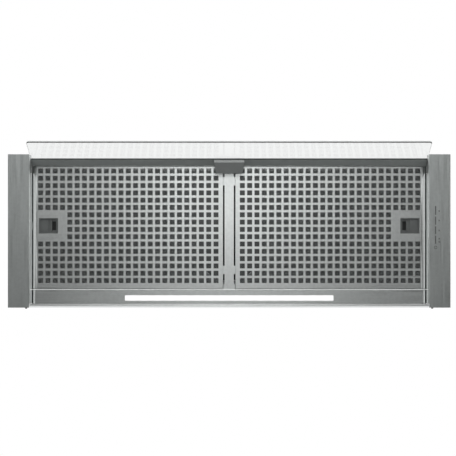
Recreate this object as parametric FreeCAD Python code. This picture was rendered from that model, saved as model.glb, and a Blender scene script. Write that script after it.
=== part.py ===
import FreeCAD, Part
import math
import os

# Range hood insert, 90 cm class: a steel body that hides inside a wall cabinet, with two
# perforated grease filters, a light bar and a tilting glass visor under it.
# Millimetres. X runs to the user's right, -Y faces the user, +Z is up.
# The origin is the middle of the seat plane, where the cabinet rests on both side flanges.

V = FreeCAD.Vector
X_AXIS = V(1, 0, 0)
Y_AXIS = V(0, 1, 0)
Z_AXIS = V(0, 0, 1)

# ---- Driving dimensions: the underside, as a cook sees it ----
WIDTH = 898.0                # across both side flanges
DEPTH = 311.3                # flange, front to rear
SHEET = 1.2                  # folded steel of the body
FLANGE_WIDTH = 43.0          # flat part of a side flange
FLANGE_BEND = 6.7            # outer radius of the fold between flange and upstand
REAR_BEND = 4.5              # outer radius of the fold at the rear rail
SEAM = 0.3                   # gap left between parts that only lie side by side

FRONT_SETBACK = 12.65        # body front wall behind the front edge of the flanges
LIGHT_STRIP = 35.6           # cross rail to rear wall: the strip that holds the light
RAIL_HEM = 1.8               # thickness of the cross rail's folded hem
HEM_PROUD = 1.0              # how far that hem stands below the underside
HEM_SHORT = 2.2              # hem ends short of the flange's fold
RAIL_HEIGHT = 16.0           # front and cross rails, above the seat
RAIL_LIP = 12.0              # inner lip of the front rail
RAIL_TOP_REACH = 8.0         # top leg of the cross rail
REAR_RAIL_HEIGHT = 24.0
REAR_RAIL_FLAT = 3.75        # flat underside of the rear rail, ahead of its fold

# ---- Body height ----
LOWER_HEIGHT = 60.0          # seat plane to the top of the lower housing
BOX_HEIGHT = 190.0           # fan box above the lower housing
COLLAR_HEIGHT = 40.0         # duct collar above the fan box
UPSTAND_HEIGHT = 30.0        # folded upstand of a side flange, above the seat
WALL_FOOT = 10.0             # lower edge of the housing's side walls, above the seat

# ---- Filters ----
FILTER_SLIT = 1.9            # gap between a filter and the flange upstand
MULLION_WIDTH = 18.8
MULLION_HEIGHT = 14.0        # above the seat
WING_FRONT = 8.4             # length of the mullion's wings, front and rear
WING_REAR = 10.45
MULLION_FOOT = 8.0           # tab under the cross rail's web
HOOK_SLOT = 2.9              # gap between the mullion and a filter
FRONT_RAIL_WIDTH = 12.4      # front wall to the front edge of the filters
FILTER_REAR_GAP = 0.7        # filter to the hem of the cross rail
FILTER_HEIGHT = 9.0
FILTER_SHEET = 0.8
FILTER_LIP = 8.0             # inward lip at the top of the filter frame
HOLE_COLUMNS = 12
HOLE_ROWS = 8
HOLE_SHARE = 0.675           # side of a square hole over the spacing of the holes
EDGE_INNER = 9.4             # filter edge to the outside of the first hole: mullion side
EDGE_OUTER = 9.7             # latch side
EDGE_FRONT = 3.8
EDGE_REAR = 11.7
MESH_GAP = 0.3               # perforated sheet to mesh pack
MESH_HEIGHT = 6.0
MESH_PLEATS = 16
MESH_SHEET = 1.0

# ---- Hooks and latch of a filter ----
HOOK_WIDTH = 17.0
HOOK_THICKNESS = 1.2
HOOK_REACH = 2.2             # how far a hook reaches through the mullion wall
HOOK_PLAY = 0.2
HOOK_FROM_FRONT = 29.8       # middle of a hook, from the filter's front edge
HOOK_FROM_REAR = 38.15       # and from its rear edge
WINDOW_HEIGHT = 5.0
LATCH_LENGTH = 39.0          # moulded latch recess, along X
LATCH_WIDTH = 31.3
LATCH_EDGE = 11.1            # latch recess to the outer edge of the filter
LATCH_AHEAD = 3.825          # latch ahead of the filter's middle
LATCH_WALL = 1.6
LATCH_DEPTH = 3.7            # depth of the finger recess
LATCH_FLOOR = 1.0
LATCH_DRAFT = 1.5            # corners of the finger recess
LATCH_FIELD_ACROSS = 6.0     # plain field round the latch, along Y and along X
LATCH_FIELD_ALONG = 3.0
BOLT_THICKNESS = 2.0
BOLT_TRAVEL = 4.5
BOLT_PLAY = 0.3
TONGUE_WIDTH = 16.0
TONGUE_ROOT = 8.0            # root of the tongue inside the latch recess
TONGUE_LAP = 1.0             # tongue runs into the plate of the bolt
BOLT_EDGE = 2.0              # plate of the bolt beside the finger slot
GRIP_LIP = 2.0
GRIP_LIP_LOW = 1.0           # lip above the underside
GRIP_SLOT_END = 1.5
GRIP_SLOT_LENGTH = 7.7
GRIP_SLOT_WIDTH = 20.9
GRIP_SLOT_INSET = 4.6        # inner end of the recess to the finger slot

# ---- Visor, in its own plane: "drop" runs down the glass, "out" towards the filters ----
VISOR_TILT = 26.5            # lean from upright at rest, tip forward
VISOR_SIDE_GAP = 0.4         # end cap to ear
VISOR_LENGTH = 90.6          # top edge of the holder to the tip of the glass
HOLDER_HEIGHT = 23.0
HOLDER_THICKNESS = 7.0
HOLDER_WALL = 1.4
GLASS_THICKNESS = 4.0
GLASS_PLAY = 0.15
GLASS_GRIP = 9.0             # depth of glass held in the holder
GLASS_CORNER = 6.0
CAP_LENGTH = 8.0
PIVOT_DROP = 5.0             # hinge pin below the holder's top edge
PIVOT_CLEAR_Y = 6.5          # hinge pin ahead of the filters' front edge
PIVOT_Z = -8.5
PIVOT_RADIUS = 2.5
PIN_PLAY = 0.05
HANDLE_RIM = 61.0
HANDLE_ROOT = 54.0
HANDLE_ROOT_DROP = 8.0       # top of the handle at the holder: clears a swinging filter
HANDLE_TOP_DROP = 3.0
HANDLE_TOP_OUT = 18.2
HANDLE_RIM_DROP = 25.0
HANDLE_RIM_OUT = 10.0
HANDLE_TIP_DROP = 27.2
HANDLE_TIP_OUT = 5.2
HANDLE_RECESS = 14.0
EAR_THICKNESS = 1.5
EAR_AHEAD = 2.0              # ear in front of the front wall
EAR_WIDTH = 28.4
EAR_DROP = 32.0
PIN_HEAD_RADIUS = 4.0
PIN_HEAD = 1.5

# ---- Light ----
LIGHT_LENGTH = 423.0
LIGHT_WIDTH = 12.0
LIGHT_FROM_HEM = 16.25       # middle of the light bar behind the cross rail
LIGHT_WALL = 1.2
LIGHT_HEIGHT = 9.0
LIGHT_LIP = 8.0              # upturned edges of the light panel
LIGHT_FOOT = 2.0             # foot of the light cover, on the panel
LIGHT_SKIN = 1.6             # thickness of the cover where light passes
BOARD_SHORT = 2.0            # board ends short of the cover's ends
BOARD_THICKNESS = 1.6
LED_COUNT = 16
LED_SIZE = 3.0
LED_HEIGHT = 0.8
DRIVER_LENGTH = 100.0
DRIVER_WIDTH = 40.0
DRIVER_HEIGHT = 22.0
DRIVER_SIDE_GAP = 12.0       # driver to the side wall
DRIVER_REAR_GAP = 38.25      # driver to the rear wall
DRIVER_CORNER = 2.0

# ---- Controls ----
CONTROL_LENGTH = 114.0
CONTROL_WIDTH = 22.0
CONTROL_HEIGHT = 14.0
CONTROL_INSET = 13.0         # middle of the control from the flange's fold
CONTROL_Y = -7.0
CONTROL_WALL = 1.5
SOCKET_LENGTH = 9.0
SOCKET_LOW = 2.0             # underside of the socket above the flange
SOCKET_HEIGHT = 8.0

# ---- Fan box and scroll ----
BOX_WIDTH = 480.0
BOX_SETBACK = 2.0            # foot of the fan box to the front and rear walls
FOOT_WIDTH = 12.0
SCROLL_WIDTH = 130.0
SCROLL_WALL = 2.0
SCROLL_STEP = 10.0           # growth of the scroll's radius in each quarter turn
TONGUE_GAP = 5.0             # impeller to the scroll's tongue
IMPELLER_Y = -22.0
SCROLL_FLOOR_GAP = 6.0       # scroll above the floor of the fan box
SCROLL_HEADROOM = 18.8       # scroll under the roof of the fan box
OUTLET_INNER = 20.0          # inner edge of the outlet, behind the impeller's axis
BELL_HEIGHT = 5.0
BELL_FLARE = 6.0

BLADE_COUNT = 20
BLADE_THICKNESS = 1.2
BLADE_DEPTH = 12.0           # ring of blades, outside to inside
BLADE_LEAN = 5.0             # tip of a blade ahead of its root
BLADE_FOLD = 0.3             # share of that lean at the fold
BLADE_MARGIN = 0.8           # blade edges inside the end rings' edges
IMPELLER_END_GAP = 4.0
END_RING_DEPTH = 2.0
DISC_THICKNESS = 1.6
HUB_RADIUS = 13.0
HUB_LENGTH = 14.0

SHAFT_RADIUS = 4.0
BUSH_PLAY = 0.03
BUSH_RADIUS = 8.0
BUSH_LENGTH = 8.0
MOTOR_CLEARANCE = 10.0       # motor can to the ring of blades
MOTOR_WALL = 2.0
MOTOR_START = 9.0            # motor can, from the impeller's disc
STATOR_BORE = 0.54           # bore of the stator over its outer radius
STATOR_LENGTH = 30.0
ROTOR_GAP = 0.5
BRACKET_THICKNESS = 2.0
BRACKET_CENTRE = 26.0
BRACKET_LANDING = 4.0        # bracket feet beyond the flare of the inlet
BRACKET_ARM = 14.0

# ---- Collar and damper ----
COLLAR_RADIUS = 75.0
COLLAR_BEHIND = 61.0         # collar behind the impeller's axis
COLLAR_FOOT = 17.0
DAMPER_LEVEL = 12.0          # flap hinges above the top of the fan box
FLAP_GAP = 0.6
FLAP_THICKNESS = 1.0
FLAP_AXIS = 4.0              # each flap hinge from the collar's centre line
FLAP_PIN_RADIUS = 1.5
KNUCKLE_RADIUS = 2.6
KNUCKLE_LENGTH = 120.0

# ---- Terminal box, gland, capacitor ----
TERMINAL_LENGTH = 90.0
TERMINAL_WIDTH = 70.0
TERMINAL_HEIGHT = 35.0
TERMINAL_REAR_GAP = 44.45    # terminal box to the rear wall
TERMINAL_WALL = 2.0
TERMINAL_CORNER = 3.0
COVER_THICKNESS = 2.5
GLAND_BORE = 4.5
GLAND_STEM = 8.0
GLAND_FLATS = 22.0
GLAND_LENGTH = 22.0
GLAND_HEIGHT = 17.0
GLAND_NUT = 13.0             # length of the clamping nut
GLAND_NUT_WALL = 1.5
GLAND_SIDES = 12
BUSH_SIDES = 12
CAPACITOR_RADIUS = 15.0
CAPACITOR_LENGTH = 50.0
CAPACITOR_REAR_GAP = 45.0    # middle of the capacitor to the fan box's rear
CAPACITOR_LEVEL = 60.0       # above the floor of the fan box

# ---- Fasteners and stops ----
SCREW_RADIUS = 2.0
SCREW_PLAY = 0.1
SCREW_HEAD_RADIUS = 3.6
SCREW_HEAD = 1.8
SHANK_SIDES = 8
SCREW_REACH = 2.0            # screw tip beyond the two sheets that it holds
HOUSING_SCREW_SPACING = 150.0
SIDE_HOLE_RADIUS = 2.5
SIDE_HOLE_SPACING = 180.0
SIDE_HOLE_Z = 45.0
STOP_WIDTH = 4.0
STOP_INSET = 6.0             # middle of a stop from the flange's fold
STOP_PROUD = 2.0

# ---- Places worked out from the driving dimensions ----
UNDER = -SHEET                                   # underside of the whole body
FLANGE_HALF = WIDTH / 2
FLANGE_EDGE = FLANGE_HALF - FLANGE_WIDTH         # where the flange's fold begins
OPENING_HALF = FLANGE_EDGE - FLANGE_BEND         # inner face of a flange upstand
WALL_INNER = OPENING_HALF + SHEET                # inner face of the housing's side wall
WALL_OUTER = WALL_INNER + SHEET
FRONT_WALL = -DEPTH / 2 + FRONT_SETBACK
REAR_FACE = DEPTH / 2
REAR_WALL = REAR_FACE - SHEET
REAR_RAIL_EDGE = REAR_FACE - REAR_BEND - REAR_RAIL_FLAT
HEM_REAR = REAR_FACE - LIGHT_STRIP - SEAM
HEM_FRONT = HEM_REAR - RAIL_HEM
FILTER_FRONT = -FRONT_WALL - FRONT_RAIL_WIDTH    # forward of the origin
FILTER_OUTER = OPENING_HALF - FILTER_SLIT
FILTER_INNER = MULLION_WIDTH / 2 + HOOK_SLOT
FILTER_REAR = HEM_FRONT - FILTER_REAR_GAP
FILTER_TOP = UNDER + FILTER_HEIGHT
BOX_TOP = LOWER_HEIGHT + BOX_HEIGHT
BOX_FRONT = FRONT_WALL + BOX_SETBACK + FOOT_WIDTH
BOX_REAR = REAR_WALL - BOX_SETBACK - FOOT_WIDTH
HOOK_FRONT_Y = -FILTER_FRONT + HOOK_FROM_FRONT
HOOK_REAR_Y = FILTER_REAR - HOOK_FROM_REAR
VISOR_HALF = WALL_INNER - EAR_THICKNESS - VISOR_SIDE_GAP
EAR_FRONT = EAR_AHEAD - FRONT_WALL
EAR_REAR = EAR_FRONT - EAR_WIDTH
LIGHT_CENTRE_Y = HEM_REAR + LIGHT_FROM_HEM
CONTROL_X = FLANGE_EDGE + CONTROL_INSET
STOP_X = FLANGE_EDGE + STOP_INSET
LATCH_Y = (FILTER_REAR - FILTER_FRONT) / 2 - LATCH_AHEAD
PIVOT_Y = -FILTER_FRONT - PIVOT_CLEAR_Y
LATCH_OUTER = FILTER_OUTER - LATCH_EDGE
LATCH_INNER = LATCH_OUTER - LATCH_LENGTH
BOLT_LOW = UNDER + LATCH_DEPTH + LATCH_FLOOR + BOLT_PLAY / 2
SLOT_INNER = LATCH_INNER + GRIP_SLOT_INSET
SCROLL_HEIGHT = BOX_HEIGHT - SHEET - SCROLL_FLOOR_GAP - SCROLL_HEADROOM
SCROLL_FIRST = (SCROLL_HEIGHT - SCROLL_STEP) / 2  # radius of its second quarter
IMPELLER_RADIUS = SCROLL_FIRST - SCROLL_STEP - TONGUE_GAP
BLADE_INNER = IMPELLER_RADIUS - BLADE_DEPTH
INLET_RADIUS = BLADE_INNER
MOTOR_RADIUS = BLADE_INNER - MOTOR_CLEARANCE
STATOR_INNER = (MOTOR_RADIUS - MOTOR_WALL) * STATOR_BORE
BRACKET_REACH = INLET_RADIUS + BELL_FLARE + BRACKET_LANDING
COLLAR_Y = IMPELLER_Y + COLLAR_BEHIND
TERMINAL_X = (BOX_WIDTH / 2 + FOOT_WIDTH + WALL_INNER) / 2   # midway: foot to side wall
TERMINAL_Y = REAR_WALL - TERMINAL_REAR_GAP - TERMINAL_WIDTH / 2
IMPELLER_Z = LOWER_HEIGHT + SCROLL_FLOOR_GAP + SCROLL_FIRST + 1.5 * SCROLL_STEP


# ---------------------------------------------------------------- helpers

def block(x0, x1, y0, y1, z0, z1):
    return Part.makeBox(x1 - x0, y1 - y0, z1 - z0, V(x0, y0, z0))


def rod(radius, length, start, direction):
    return Part.makeCylinder(radius, length, start, direction)


def flat_sided(radius, sides, length, start, direction):
    """A rod with flat sides, for small fasteners and the holes that they pass through."""
    turn = 360.0 / sides
    corners = [V(radius * math.cos(math.radians(turn * k)),
                 radius * math.sin(math.radians(turn * k)), 0) for k in range(sides)]
    bar = Part.Face(Part.makePolygon(corners + corners[:1])).extrude(V(0, 0, length))
    bar.Placement = FreeCAD.Placement(start, FreeCAD.Rotation(Z_AXIS, direction))
    return bar


def tube(outer, inner, length, start, direction):
    return rod(outer, length, start, direction).cut(rod(inner, length, start, direction))


def prism_x(points, x0, x1):
    """Extrude a closed outline, given as (y, z) points, from x0 to x1."""
    wire = Part.makePolygon([V(x0, y, z) for y, z in points + points[:1]])
    return Part.Face(wire).extrude(V(x1 - x0, 0, 0))


def prism_y(points, y0, y1):
    """Extrude a closed outline, given as (x, z) points, from y0 to y1."""
    wire = Part.makePolygon([V(x, y0, z) for x, z in points + points[:1]])
    return Part.Face(wire).extrude(V(0, y1 - y0, 0))


def mirrored(shape):
    """The same part for the other side of the hood."""
    return shape.mirror(V(0, 0, 0), X_AXIS)


def joined(shapes):
    result = shapes[0]
    for shape in shapes[1:]:
        result = result.fuse(shape)
    return result.removeSplitter()


def screw_hole(start, direction, length):
    return flat_sided(SCREW_RADIUS + SCREW_PLAY, SHANK_SIDES, length, start, direction)


def folded_strip(corner, away, radius, leg_flat, leg_up, thickness):
    """Section of a folded sheet: a flat leg, a quarter bend and an upright leg.

    corner is where the outer faces would meet, away is +1 or -1: the way the flat leg runs.
    The result is a face in the plane whose first coordinate is horizontal.
    """
    c, z = corner
    inner = radius - thickness
    half = math.sqrt(0.5)
    bend = (c + away * radius, z + radius)

    def at(r, share):
        return V(bend[0] - away * r * share, bend[1] - r * share, 0)

    p1 = V(c + away * leg_flat, z, 0)
    p2 = V(bend[0], z, 0)
    p3 = V(c, bend[1], 0)
    p4 = V(c, z + leg_up, 0)
    p5 = V(c + away * thickness, z + leg_up, 0)
    p6 = V(c + away * thickness, bend[1], 0)
    p7 = V(bend[0], z + thickness, 0)
    p8 = V(c + away * leg_flat, z + thickness, 0)
    edges = [
        Part.makeLine(p1, p2),
        Part.Arc(p2, at(radius, half), p3).toShape(),
        Part.makeLine(p3, p4),
        Part.makeLine(p4, p5),
        Part.makeLine(p5, p6),
        Part.Arc(p6, at(inner, half), p7).toShape(),
        Part.makeLine(p7, p8),
        Part.makeLine(p8, p1),
    ]
    return Part.Face(Part.Wire(edges))


def stand_up(section, turn_to_x):
    """Turn a flat section (a, b, 0) so that b points up; a lies along X or along Y."""
    section.rotate(V(0, 0, 0), X_AXIS, 90)
    if not turn_to_x:
        section.rotate(V(0, 0, 0), Z_AXIS, 90)
    return section


def save(name, shape):
    shape.exportStep("parts/" + name + ".step")


# ---------------------------------------------------------------- body shell

def flange_right():
    """Side flange: flat ledge under the cabinet, folded up beside the filter."""
    section = stand_up(
        folded_strip((OPENING_HALF, UNDER), 1, FLANGE_BEND,
                     FLANGE_HALF - OPENING_HALF, UPSTAND_HEIGHT - UNDER, SHEET), True)
    section.translate(V(0, -DEPTH / 2, 0))
    flange = section.extrude(V(0, DEPTH, 0))
    fold_space = FLANGE_EDGE - OPENING_HALF
    front_notch = block(OPENING_HALF - 1, WALL_OUTER + SEAM, -DEPTH / 2 - 1,
                        -EAR_REAR + SEAM, UNDER - 1, UPSTAND_HEIGHT + 1)
    rear_notch = block(OPENING_HALF - 1, OPENING_HALF + fold_space, REAR_RAIL_EDGE - SEAM,
                       DEPTH / 2 + 1, UNDER - 1, UPSTAND_HEIGHT + 1)
    tongue_window = block(OPENING_HALF - 1, WALL_INNER + 1,
                          LATCH_Y - TONGUE_WIDTH / 2 - BOLT_PLAY,
                          LATCH_Y + TONGUE_WIDTH / 2 + BOLT_PLAY,
                          BOLT_LOW - BOLT_PLAY, BOLT_LOW + BOLT_THICKNESS + BOLT_PLAY)
    flange = flange.cut(front_notch).cut(rear_notch).cut(tongue_window)
    for place in housing_screw_places():
        flange = flange.cut(screw_hole(V(OPENING_HALF - SHEET, place, screw_level()),
                                       X_AXIS, 3 * SHEET))
    return flange


def housing_screw_places():
    return (-HOUSING_SCREW_SPACING / 2, HOUSING_SCREW_SPACING / 2)


def screw_level():
    return (WALL_FOOT + UPSTAND_HEIGHT) / 2


def housing_lower():
    """Lower housing: an open-bottomed folded box whose top opens into the fan box."""
    outer = block(-WALL_OUTER, WALL_OUTER, FRONT_WALL, REAR_WALL, UNDER, LOWER_HEIGHT)
    hollow = block(-WALL_INNER, WALL_INNER, FRONT_WALL + SHEET, REAR_WALL - SHEET,
                   UNDER - 1, LOWER_HEIGHT - SHEET)
    housing = outer.cut(hollow)
    for side in (-1, 1):
        low, high = sorted((side * (WALL_INNER - SEAM), side * (WALL_OUTER + 1)))
        housing = housing.cut(block(low, high, FRONT_WALL - 1, REAR_WALL + 1,
                                    UNDER - 1, WALL_FOOT))
    rear_cut = block(-WALL_OUTER - 1, WALL_OUTER + 1, REAR_WALL - 2 * SHEET, REAR_WALL + 1,
                     UNDER - 1, WALL_FOOT / 2)
    throat = block(-BOX_WIDTH / 2 + FOOT_WIDTH, BOX_WIDTH / 2 - FOOT_WIDTH,
                   BOX_FRONT + FOOT_WIDTH, BOX_REAR - FOOT_WIDTH,
                   LOWER_HEIGHT - 2 * SHEET, LOWER_HEIGHT + 1)
    housing = housing.cut(rear_cut).cut(throat)
    through = 2 * WALL_OUTER + 10
    for place in (-SIDE_HOLE_SPACING / 2, SIDE_HOLE_SPACING / 2):
        housing = housing.cut(rod(SIDE_HOLE_RADIUS, through,
                                  V(-through / 2, place, SIDE_HOLE_Z), X_AXIS))
    for place in housing_screw_places():
        for start in (-WALL_OUTER - SHEET, WALL_INNER - SHEET):
            housing = housing.cut(screw_hole(V(start, place, screw_level()),
                                             X_AXIS, 3 * SHEET))
    return housing


def front_rail():
    """Channel that closes the underside between the front wall and the filters."""
    front = FRONT_WALL + SHEET
    rear = -FILTER_FRONT - 2 * SEAM
    lip = UNDER + RAIL_LIP
    points = [(front, UNDER), (rear, UNDER), (rear, lip), (rear - SHEET, lip),
              (rear - SHEET, UNDER + SHEET), (front + SHEET, UNDER + SHEET),
              (front + SHEET, RAIL_HEIGHT), (front, RAIL_HEIGHT)]
    half = WALL_INNER - EAR_THICKNESS - SEAM
    return prism_x(points, -half, half)


def cross_rail():
    """Folded rail behind the filters; its bright hem runs from flange to flange."""
    web = HEM_REAR - SHEET
    back = HEM_REAR + RAIL_TOP_REACH
    under_top = RAIL_HEIGHT - SHEET
    half = OPENING_HALF - SEAM
    points = [(web, UNDER), (HEM_REAR, UNDER), (HEM_REAR, under_top), (back, under_top),
              (back, RAIL_HEIGHT), (web, RAIL_HEIGHT)]
    upright = prism_x(points, -half, half)
    hem_half = FLANGE_EDGE - HEM_SHORT
    hem = block(-hem_half, hem_half, HEM_FRONT, HEM_REAR, UNDER - HEM_PROUD, UNDER)
    return joined([upright, hem])


def rear_rail():
    """Rear edge of the underside, folded up the back of the body."""
    section = stand_up(
        folded_strip((-REAR_FACE, UNDER), 1, REAR_BEND, REAR_FACE - REAR_RAIL_EDGE,
                     REAR_RAIL_HEIGHT - UNDER, SHEET), True)
    section.rotate(V(0, 0, 0), Z_AXIS, -90)
    half = FLANGE_EDGE - 2 * SEAM
    section.translate(V(-half, 0, 0))
    return section.extrude(V(2 * half, 0, 0))


def centre_mullion():
    """Inverted channel between the filters, with windows that the filter hooks enter."""
    half = MULLION_WIDTH / 2
    front = -FILTER_FRONT - SEAM
    rear = HEM_FRONT
    channel = block(-half, half, front, rear, UNDER, MULLION_HEIGHT)
    channel = channel.cut(block(-half + SHEET, half - SHEET, front - 1, rear + 1,
                                0, MULLION_HEIGHT + 1))
    wing_half = FILTER_INNER - 2 * SEAM
    wings = [block(-wing_half, wing_half, front, front + WING_FRONT, UNDER, 0),
             block(-wing_half, wing_half, rear - WING_REAR, rear, UNDER, 0)]
    rear_foot = block(-half + SHEET, half - SHEET, rear - MULLION_FOOT,
                      rear + RAIL_HEM - SHEET, 0, MULLION_FOOT)
    mullion = joined([channel, rear_foot] + wings)
    for place in (HOOK_FRONT_Y, HOOK_REAR_Y):
        mullion = mullion.cut(block(-half - 1, half + 1,
                                    place - HOOK_WIDTH / 2 - 0.5, place + HOOK_WIDTH / 2 + 0.5,
                                    HOOK_PLAY, HOOK_PLAY + WINDOW_HEIGHT))
    return mullion


def rear_stops():
    """Small distance pieces on the rear edges of the flanges, which keep them off the wall."""
    right = block(STOP_X - STOP_WIDTH / 2, STOP_X + STOP_WIDTH / 2,
                  REAR_FACE, REAR_FACE + STOP_PROUD, UNDER, 0)
    return Part.makeCompound([right, mirrored(right)])


# ---------------------------------------------------------------- light and controls

def light_panel():
    """Strip between the cross rail and the rear rail, with the window for the light bar."""
    front = HEM_REAR + SEAM
    rear = REAR_RAIL_EDGE - SEAM
    lip = UNDER + LIGHT_LIP
    points = [(front, UNDER), (rear, UNDER), (rear, lip), (rear - SHEET, lip),
              (rear - SHEET, 0), (front + SHEET, 0), (front + SHEET, lip),
              (front, lip)]
    panel = prism_x(points, -FILTER_OUTER, FILTER_OUTER)
    window = block(-LIGHT_LENGTH / 2 - SEAM / 2, LIGHT_LENGTH / 2 + SEAM / 2,
                   LIGHT_CENTRE_Y - LIGHT_WIDTH / 2 - SEAM / 2,
                   LIGHT_CENTRE_Y + LIGHT_WIDTH / 2 + SEAM / 2, UNDER - 1, 1)
    return panel.cut(window)


def light_diffuser():
    """Opal cover of the light bar: a channel with feet that rest on the panel."""
    half_y = LIGHT_WIDTH / 2
    foot = LIGHT_FOOT
    skin = UNDER + LIGHT_SKIN
    y = LIGHT_CENTRE_Y
    points = [(y - half_y, UNDER), (y + half_y, UNDER), (y + half_y, 0),
              (y + half_y + foot, 0), (y + half_y + foot, LIGHT_WALL),
              (y + half_y, LIGHT_WALL), (y + half_y, LIGHT_HEIGHT),
              (y + half_y - LIGHT_WALL, LIGHT_HEIGHT), (y + half_y - LIGHT_WALL, skin),
              (y - half_y + LIGHT_WALL, skin), (y - half_y + LIGHT_WALL, LIGHT_HEIGHT),
              (y - half_y, LIGHT_HEIGHT), (y - half_y, LIGHT_WALL),
              (y - half_y - foot, LIGHT_WALL), (y - half_y - foot, 0), (y - half_y, 0)]
    return prism_x(points, -LIGHT_LENGTH / 2, LIGHT_LENGTH / 2)


def led_board():
    """Narrow board over the diffuser, with its row of light emitters underneath."""
    half_x = LIGHT_LENGTH / 2 - BOARD_SHORT
    half_y = LIGHT_WIDTH / 2
    board = block(-half_x, half_x, LIGHT_CENTRE_Y - half_y, LIGHT_CENTRE_Y + half_y,
                  LIGHT_HEIGHT, LIGHT_HEIGHT + BOARD_THICKNESS)
    pitch = 2 * half_x / LED_COUNT
    chips = []
    for index in range(LED_COUNT):
        x = -half_x + pitch * (index + 0.5)
        chips.append(block(x - LED_SIZE / 2, x + LED_SIZE / 2, LIGHT_CENTRE_Y - LED_SIZE / 2,
                           LIGHT_CENTRE_Y + LED_SIZE / 2, LIGHT_HEIGHT - LED_HEIGHT,
                           LIGHT_HEIGHT))
    return joined([board] + chips)


def led_driver():
    """Supply of the light, screwed under the roof of the lower housing."""
    x0 = -WALL_INNER + DRIVER_SIDE_GAP
    y1 = REAR_WALL - SHEET - DRIVER_REAR_GAP
    roof = LOWER_HEIGHT - SHEET
    case = block(x0, x0 + DRIVER_LENGTH, y1 - DRIVER_WIDTH, y1, roof - DRIVER_HEIGHT, roof)
    return case.makeChamfer(DRIVER_CORNER, [e for e in case.Edges if is_upright(e)])


def is_upright(edge):
    first, last = edge.Vertexes[0].Point, edge.Vertexes[-1].Point
    return abs(first.x - last.x) < 1e-6 and abs(first.y - last.y) < 1e-6


def control_module():
    """Sealed touch control behind the right flange, with its socket at the rear end."""
    y0 = CONTROL_Y - CONTROL_LENGTH / 2
    y1 = CONTROL_Y + CONTROL_LENGTH / 2
    half = CONTROL_WIDTH / 2
    case = block(CONTROL_X - half, CONTROL_X + half, y0, y1, 0, CONTROL_HEIGHT)
    case = case.makeChamfer(CONTROL_WALL, [e for e in case.Edges if is_upright(e)])
    socket = block(CONTROL_X - half / 2, CONTROL_X + half / 2, y1 - 1, y1 + SOCKET_LENGTH,
                   SOCKET_LOW, SOCKET_LOW + SOCKET_HEIGHT)
    return joined([case, socket])


# ---------------------------------------------------------------- fan box

def fan_box():
    """Upper box: four walls and a roof over the fan."""
    half_x = BOX_WIDTH / 2
    shell = block(-half_x, half_x, BOX_FRONT, BOX_REAR, LOWER_HEIGHT, BOX_TOP)
    shell = shell.cut(block(-half_x + SHEET, half_x - SHEET, BOX_FRONT + SHEET,
                            BOX_REAR - SHEET, LOWER_HEIGHT - 1, BOX_TOP - SHEET))
    port = rod(COLLAR_RADIUS - SHEET, 4 * SHEET, V(0, COLLAR_Y, BOX_TOP - 2 * SHEET), Z_AXIS)
    shell = shell.cut(port)
    for x, y in collar_screw_places():
        shell = shell.cut(screw_hole(V(x, y, BOX_TOP - 2 * SHEET), Z_AXIS, 4 * SHEET))
    return shell


def fan_box_foot():
    """Frame welded round the bottom of the fan box, lying on the lower housing."""
    half_x = BOX_WIDTH / 2
    frame = block(-half_x - FOOT_WIDTH, half_x + FOOT_WIDTH, BOX_FRONT - FOOT_WIDTH,
                  BOX_REAR + FOOT_WIDTH, LOWER_HEIGHT, LOWER_HEIGHT + SHEET)
    return frame.cut(block(-half_x, half_x, BOX_FRONT, BOX_REAR,
                           LOWER_HEIGHT - 1, LOWER_HEIGHT + 2 * SHEET))


def collar_screw_places():
    ring = COLLAR_RADIUS + COLLAR_FOOT / 2
    places = []
    for index in range(4):
        angle = math.radians(45 + 90 * index)
        places.append((ring * math.cos(angle), COLLAR_Y + ring * math.sin(angle)))
    return places


def scroll_outline(inset, x):
    """Closed outline of the scroll in a plane of constant X, drawn inwards by inset.

    Four arcs whose centres step round a square make the radius grow towards the outlet.
    """
    step = SCROLL_STEP
    cy = IMPELLER_Y - step / 2
    cz = IMPELLER_Z - step / 2
    r1 = SCROLL_FIRST - inset
    r0 = r1 - step
    r2 = r1 + step
    r3 = r2 + step
    mouth = BOX_TOP - SHEET
    half = math.sqrt(0.5)

    def point(centre, radius, degrees):
        angle = math.radians(degrees)
        return V(x, centre[0] + radius * math.cos(angle), centre[1] + radius * math.sin(angle))

    c0 = (cy, cz + step)
    c1 = (cy, cz)
    c2 = (cy + step, cz)
    c3 = (cy + step, cz + step)
    tongue = point(c0, r0, 50)
    top = point(c1, r1, 90)
    front = point(c1, r1, 180)
    bottom = point(c2, r2, 270)
    rear = point(c3, r3, 0)
    rear_mouth = V(x, rear.y, mouth)
    inner_mouth = V(x, IMPELLER_Y + OUTLET_INNER + inset, mouth)
    edges = [
        Part.Arc(tongue, point(c0, r0, 70), top).toShape(),
        Part.Arc(top, point(c1, r1, 135), front).toShape(),
        Part.Arc(front, point(c2, r2, 225), bottom).toShape(),
        Part.Arc(bottom, point(c3, r3, 315), rear).toShape(),
        Part.makeLine(rear, rear_mouth),
        Part.makeLine(rear_mouth, inner_mouth),
        Part.makeLine(inner_mouth, tongue),
    ]
    return Part.Face(Part.Wire(edges))


def scroll_right():
    """Right half of the fan scroll: spiral wall, side plate and flared inlet."""
    half = SCROLL_WIDTH / 2
    shell = scroll_outline(0, 0).extrude(V(half, 0, 0))
    hollow = scroll_outline(SCROLL_WALL, -1).extrude(V(half - SCROLL_WALL + 1, 0, 0))
    shell = shell.cut(hollow)
    start = V(half - SCROLL_WALL, IMPELLER_Y, IMPELLER_Z)
    bell_outer = Part.makeCone(INLET_RADIUS + SCROLL_WALL, INLET_RADIUS + BELL_FLARE,
                               BELL_HEIGHT, start, X_AXIS)
    bell_inner = Part.makeCone(INLET_RADIUS, INLET_RADIUS + BELL_FLARE - SCROLL_WALL,
                               BELL_HEIGHT, start, X_AXIS)
    shell = joined([shell, bell_outer]).cut(bell_inner)
    shell = shell.cut(mouth_opening())
    return shell


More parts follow.
